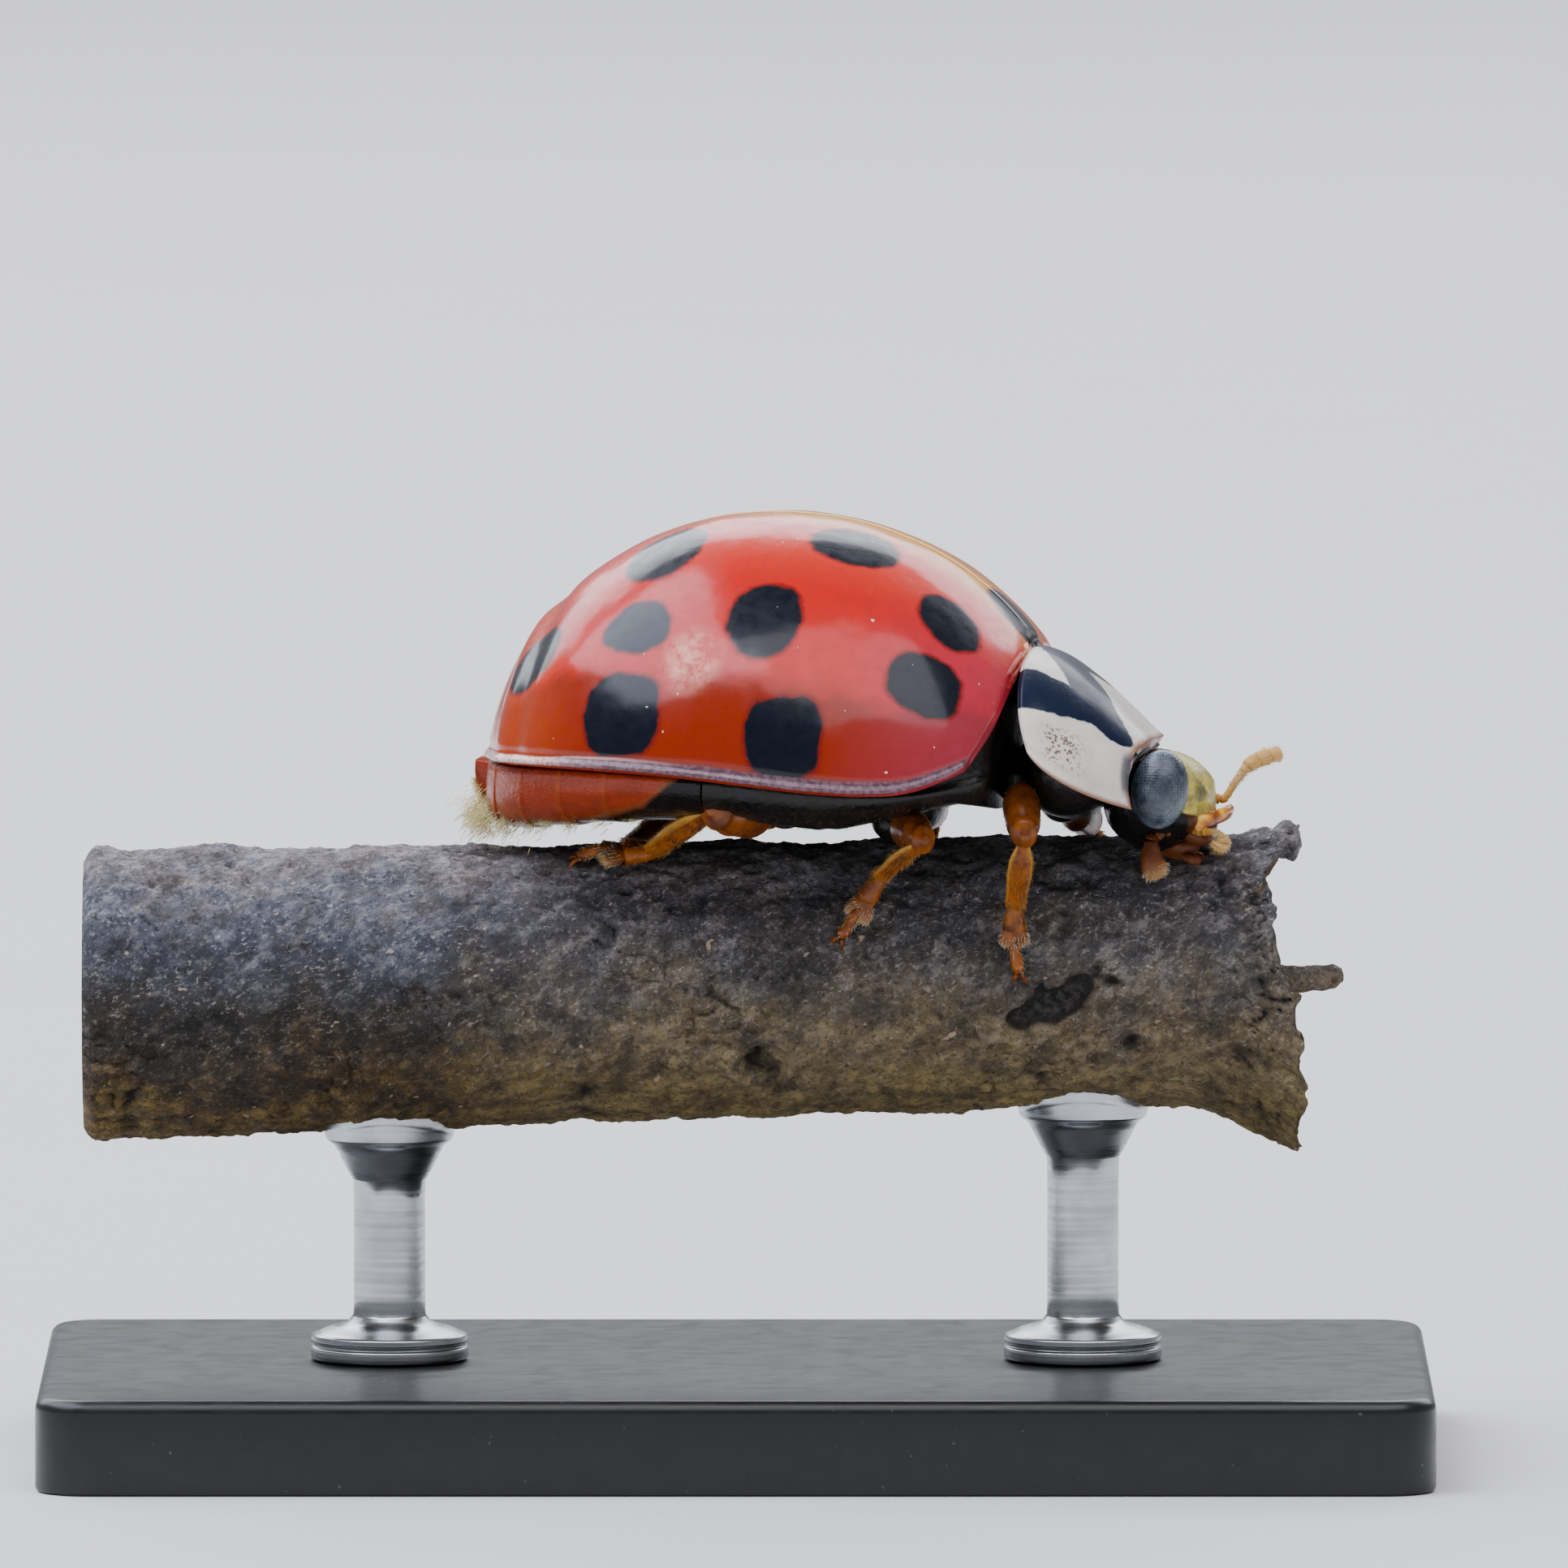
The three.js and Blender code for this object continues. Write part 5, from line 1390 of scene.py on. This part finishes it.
def turned_rod(x, radius):
    """Rod: a lathe profile of a grooved collar, a slim shaft and a dished cup, cut to the underside of the twig."""
    under = TWIG["axis"] + TWIG["rise"] * x - (TWIG["radius"] - TWIG["taper"] * x)
    collar = [(0.02, 0), (0.72, 0), (0.75, 0.03), (0.75, 0.12), (0.72, 0.14), (0.72, 0.16), (0.75, 0.18),
              (0.74, 0.24), (0.6, 0.3), (radius + 0.06, 0.36), (radius, 0.44)]
    cup = [(radius, -0.5), (radius + 0.05, -0.42), (0.52, -0.16), (0.6, -0.1), (0.62, -0.04), (0.62, 0.1),
           (0.6, 0.13), (0.55, 0.14), (0.5, 0.06), (0.25, -0.03), (0.02, -0.045)]
    profile = np.array([(size, BASE_TOP + level) for size, level in collar] + [(a, under + b) for a, b in cup])
    fine = np.linspace(0, len(profile) - 1, 4 * len(profile))
    sizes, levels = (np.interp(fine, np.arange(len(v)), v)[:, None] for v in profile.T)
    y = sizes * np.sin(ring(64))
    saddle = np.where(levels > under - 0.08, TWIG["radius"] - np.sqrt(TWIG["radius"] ** 2 - y ** 2), 0) * 0.9
    return loft(together(x + sizes * np.cos(ring(64)), y, levels + saddle))


class StandSettings(PropertyGroup):
    corner: length("Corner", "Radius of the base's corners", 0.5)
    bevel: length("Bevel", "Width of the base's top bevel", 0.12)
    rod: length("Rod", "Radius of the two rods", 0.34)
    black: colour("Black", "Colour of the base", "#101011")


def acrylic(wanted):
    """Cast acrylic sheet, satin black: laser cut, its faces finely rubbed, so it mirrors softly."""
    add, place = finish("Cast acrylic, satin black", IOR=1.49)
    rubbed = add("TexNoise", place, cells(0.25), 4)
    dust = add("TexNoise", place, cells(0.08), 2)
    skin = coats(add, wanted.black, ("#8a8a88", (dust, 0.74, 0.78, 0, 0.2)))
    return dress(add, skin, (rubbed, 0.3, 0.7, 0.28, 0.4), (add("TexNoise", place, cells(0.05), 2), 0.001, 0.2))


def steel():
    """Stainless steel turned on a lathe: cool grey, with tool rings 0.05 mm apart that stretch its highlights."""
    add, place = finish("Stainless steel, turned", Metallic=1.0, Anisotropic=0.5)
    cloud = add("TexNoise", place, cells(0.4), 3)
    rings = add("TexNoise", add("Mapping", place, Scale=(0.02, 0.02, 1.0)), cells(0.05), 2)
    skin = add("ValToRGB", cloud, stops=[(0.3, "#a6a9ab"), (0.7, "#c4c7c9")])
    return dress(add, skin, (rings, 0.3, 0.7, 0.2, 0.36), (rings, 0.002, 0.4))


def backdrop(wanted):
    """Backdrop paper: matt and plain, with a tone that drifts slightly over 6 mm."""
    add, place = finish("Matt backdrop paper", IOR=1.45, Specular_IOR_Level=0.2, Roughness=0.8)
    return dress(add, coats(add, wanted.floor, (dimmed(wanted.floor, 0.97), add("TexNoise", place, cells(6.0), 3))))


class LADYBIRD_OT_stand(Operator):
    """Make the display base and the two rods"""
    bl_idname = "ladybird.stand"
    bl_label = "Display stand"

    def execute(self, context):
        wanted = context.scene.ladybird_stand
        low, high = (np.array(corner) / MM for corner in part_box("stand_base"))
        base = slab(high[0], high[1], high[2], wanted.bevel / MM, wanted.corner / MM)
        piece("base_sheet", base, acrylic(wanted), "base", "stand_base")
        metal = steel()
        for name in ("rear", "front"):
            low, high = (np.array(corner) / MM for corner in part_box(f"stand_rod_{name}"))
            piece(f"rod_turned_{name}", turned_rod((low[0] + high[0]) / 2, wanted.rod / MM), metal, "steel",
                  f"stand_rod_{name}")
        return {"FINISHED"}


class StageSettings(PropertyGroup):
    floor: colour("Floor", "Colour of the floor", "#e6e5e1")
    back: number("Back light", "Power of the wide light behind and above", 0.65, unit="POWER")
    side: number("Side light", "Power of the light on the left", 0.75, unit="POWER")
    fill: number("Fill light", "Power of the soft light above the camera", 0.7, unit="POWER")


def lamp(name, at, size, power, tint):
    """Soft square light at a place, turned to the middle of the view."""
    data = bpy.data.lights.new(name, "AREA")
    data.shape = "RECTANGLE"
    data.size, data.size_y = (edge * MM for edge in size)
    data.energy, data.color = power, linear(tint)[:3]
    hang(name, data, Vector(at))


def hang(name, data, at):
    """Put a light or camera at a place in millimetres, turned to the middle of the view."""
    obj = bpy.data.objects.new(name, data)
    obj.location = at * MM
    obj.rotation_euler = (VIEW["middle"] - at).to_track_quat("-Z", "Y").to_euler()
    bpy.context.scene.collection.objects.link(obj)
    return obj


class LADYBIRD_OT_stage(Operator):
    """Set the pale floor, the soft studio lights and the camera"""
    bl_idname = "ladybird.stage"
    bl_label = "Stage, lights and camera"

    def execute(self, context):
        wanted = context.scene.ladybird_stage
        edge = np.linspace(-2.0, 2.0, 5)
        points = np.stack([*(g.reshape(-1) for g in np.meshgrid(edge, edge)), np.zeros(25)], -1)
        mesh = bpy.data.meshes.new("floor")
        mesh.from_pydata(points.tolist(), [], lattice(5, 5).tolist())
        mesh.materials.append(backdrop(wanted))
        floor = bpy.data.objects.new("floor", mesh)
        context.scene.collection.objects.link(floor)
        lamp("back_softbox", (-10, 219, 145), (430, 115), wanted.back, "#f4f5ff")
        lamp("side_softbox", (-122, -11, 189), (260, 150), wanted.side, "#e8edff")
        lamp("fill_softbox", (60, -130, 260), (300, 230), wanted.fill, "#f4f4ff")
        world = bpy.data.worlds.new("studio")
        context.scene.world = world
        world.use_nodes = True
        sky = world.node_tree.nodes["Background"].inputs
        sky["Color"].default_value, sky["Strength"].default_value = linear("#dfe6ee"), 0.34
        camera = bpy.data.cameras.new("camera")
        camera.sensor_width = SENSOR
        camera.lens = SENSOR * VIEW["distance"] / VIEW["width"]
        camera.clip_start, camera.clip_end = 0.02, 10
        back = Vector((0, -math.cos(VIEW["elevation"]), math.sin(VIEW["elevation"])))
        context.scene.camera = hang("camera", camera, VIEW["middle"] + back * VIEW["distance"])
        return {"FINISHED"}


SETTINGS = {
    "ladybird_wing_cases": WingCaseSettings, "ladybird_shield": ShieldSettings, "ladybird_trunk": TrunkSettings,
    "ladybird_head": HeadSettings, "ladybird_legs": LegSettings, "ladybird_hairs": HairSettings,
    "ladybird_twig": TwigSettings, "ladybird_stand": StandSettings, "ladybird_stage": StageSettings,
}
OPERATORS = [LADYBIRD_OT_stage, LADYBIRD_OT_stand, LADYBIRD_OT_twig, LADYBIRD_OT_trunk, LADYBIRD_OT_wing_cases,
             LADYBIRD_OT_shield, LADYBIRD_OT_head, LADYBIRD_OT_legs, LADYBIRD_OT_hairs]


class VIEW3D_PT_ladybird(Panel):
    """Lists the steps of the model with their settings"""
    bl_idname = "VIEW3D_PT_ladybird"
    bl_label = "Harlequin ladybird"
    bl_space_type = "VIEW_3D"
    bl_region_type = "UI"
    bl_category = "Ladybird"

    def draw(self, context):
        for key, settings in SETTINGS.items():
            box = self.layout.box()
            group = getattr(context.scene, key)
            for name in settings.__annotations__:
                box.prop(group, name)
        for operator in OPERATORS:
            self.layout.operator(operator.bl_idname)


def register():
    for kind in (*SETTINGS.values(), *OPERATORS, VIEW3D_PT_ladybird):
        bpy.utils.register_class(kind)
    for key, settings in SETTINGS.items():
        setattr(bpy.types.Scene, key, PointerProperty(type=settings))


def unregister():
    for key in SETTINGS:
        delattr(bpy.types.Scene, key)
    for kind in reversed((*SETTINGS.values(), *OPERATORS, VIEW3D_PT_ladybird)):
        bpy.utils.unregister_class(kind)


def main():
    register()
    bpy.ops.ladybird.stage()
    bpy.ops.ladybird.stand()
    bpy.ops.ladybird.twig()
    bpy.ops.ladybird.trunk()
    bpy.ops.ladybird.wing_cases()
    bpy.ops.ladybird.shield()
    bpy.ops.ladybird.head()
    bpy.ops.ladybird.legs()
    bpy.ops.ladybird.hairs()


if __name__ == "__main__":
    main()
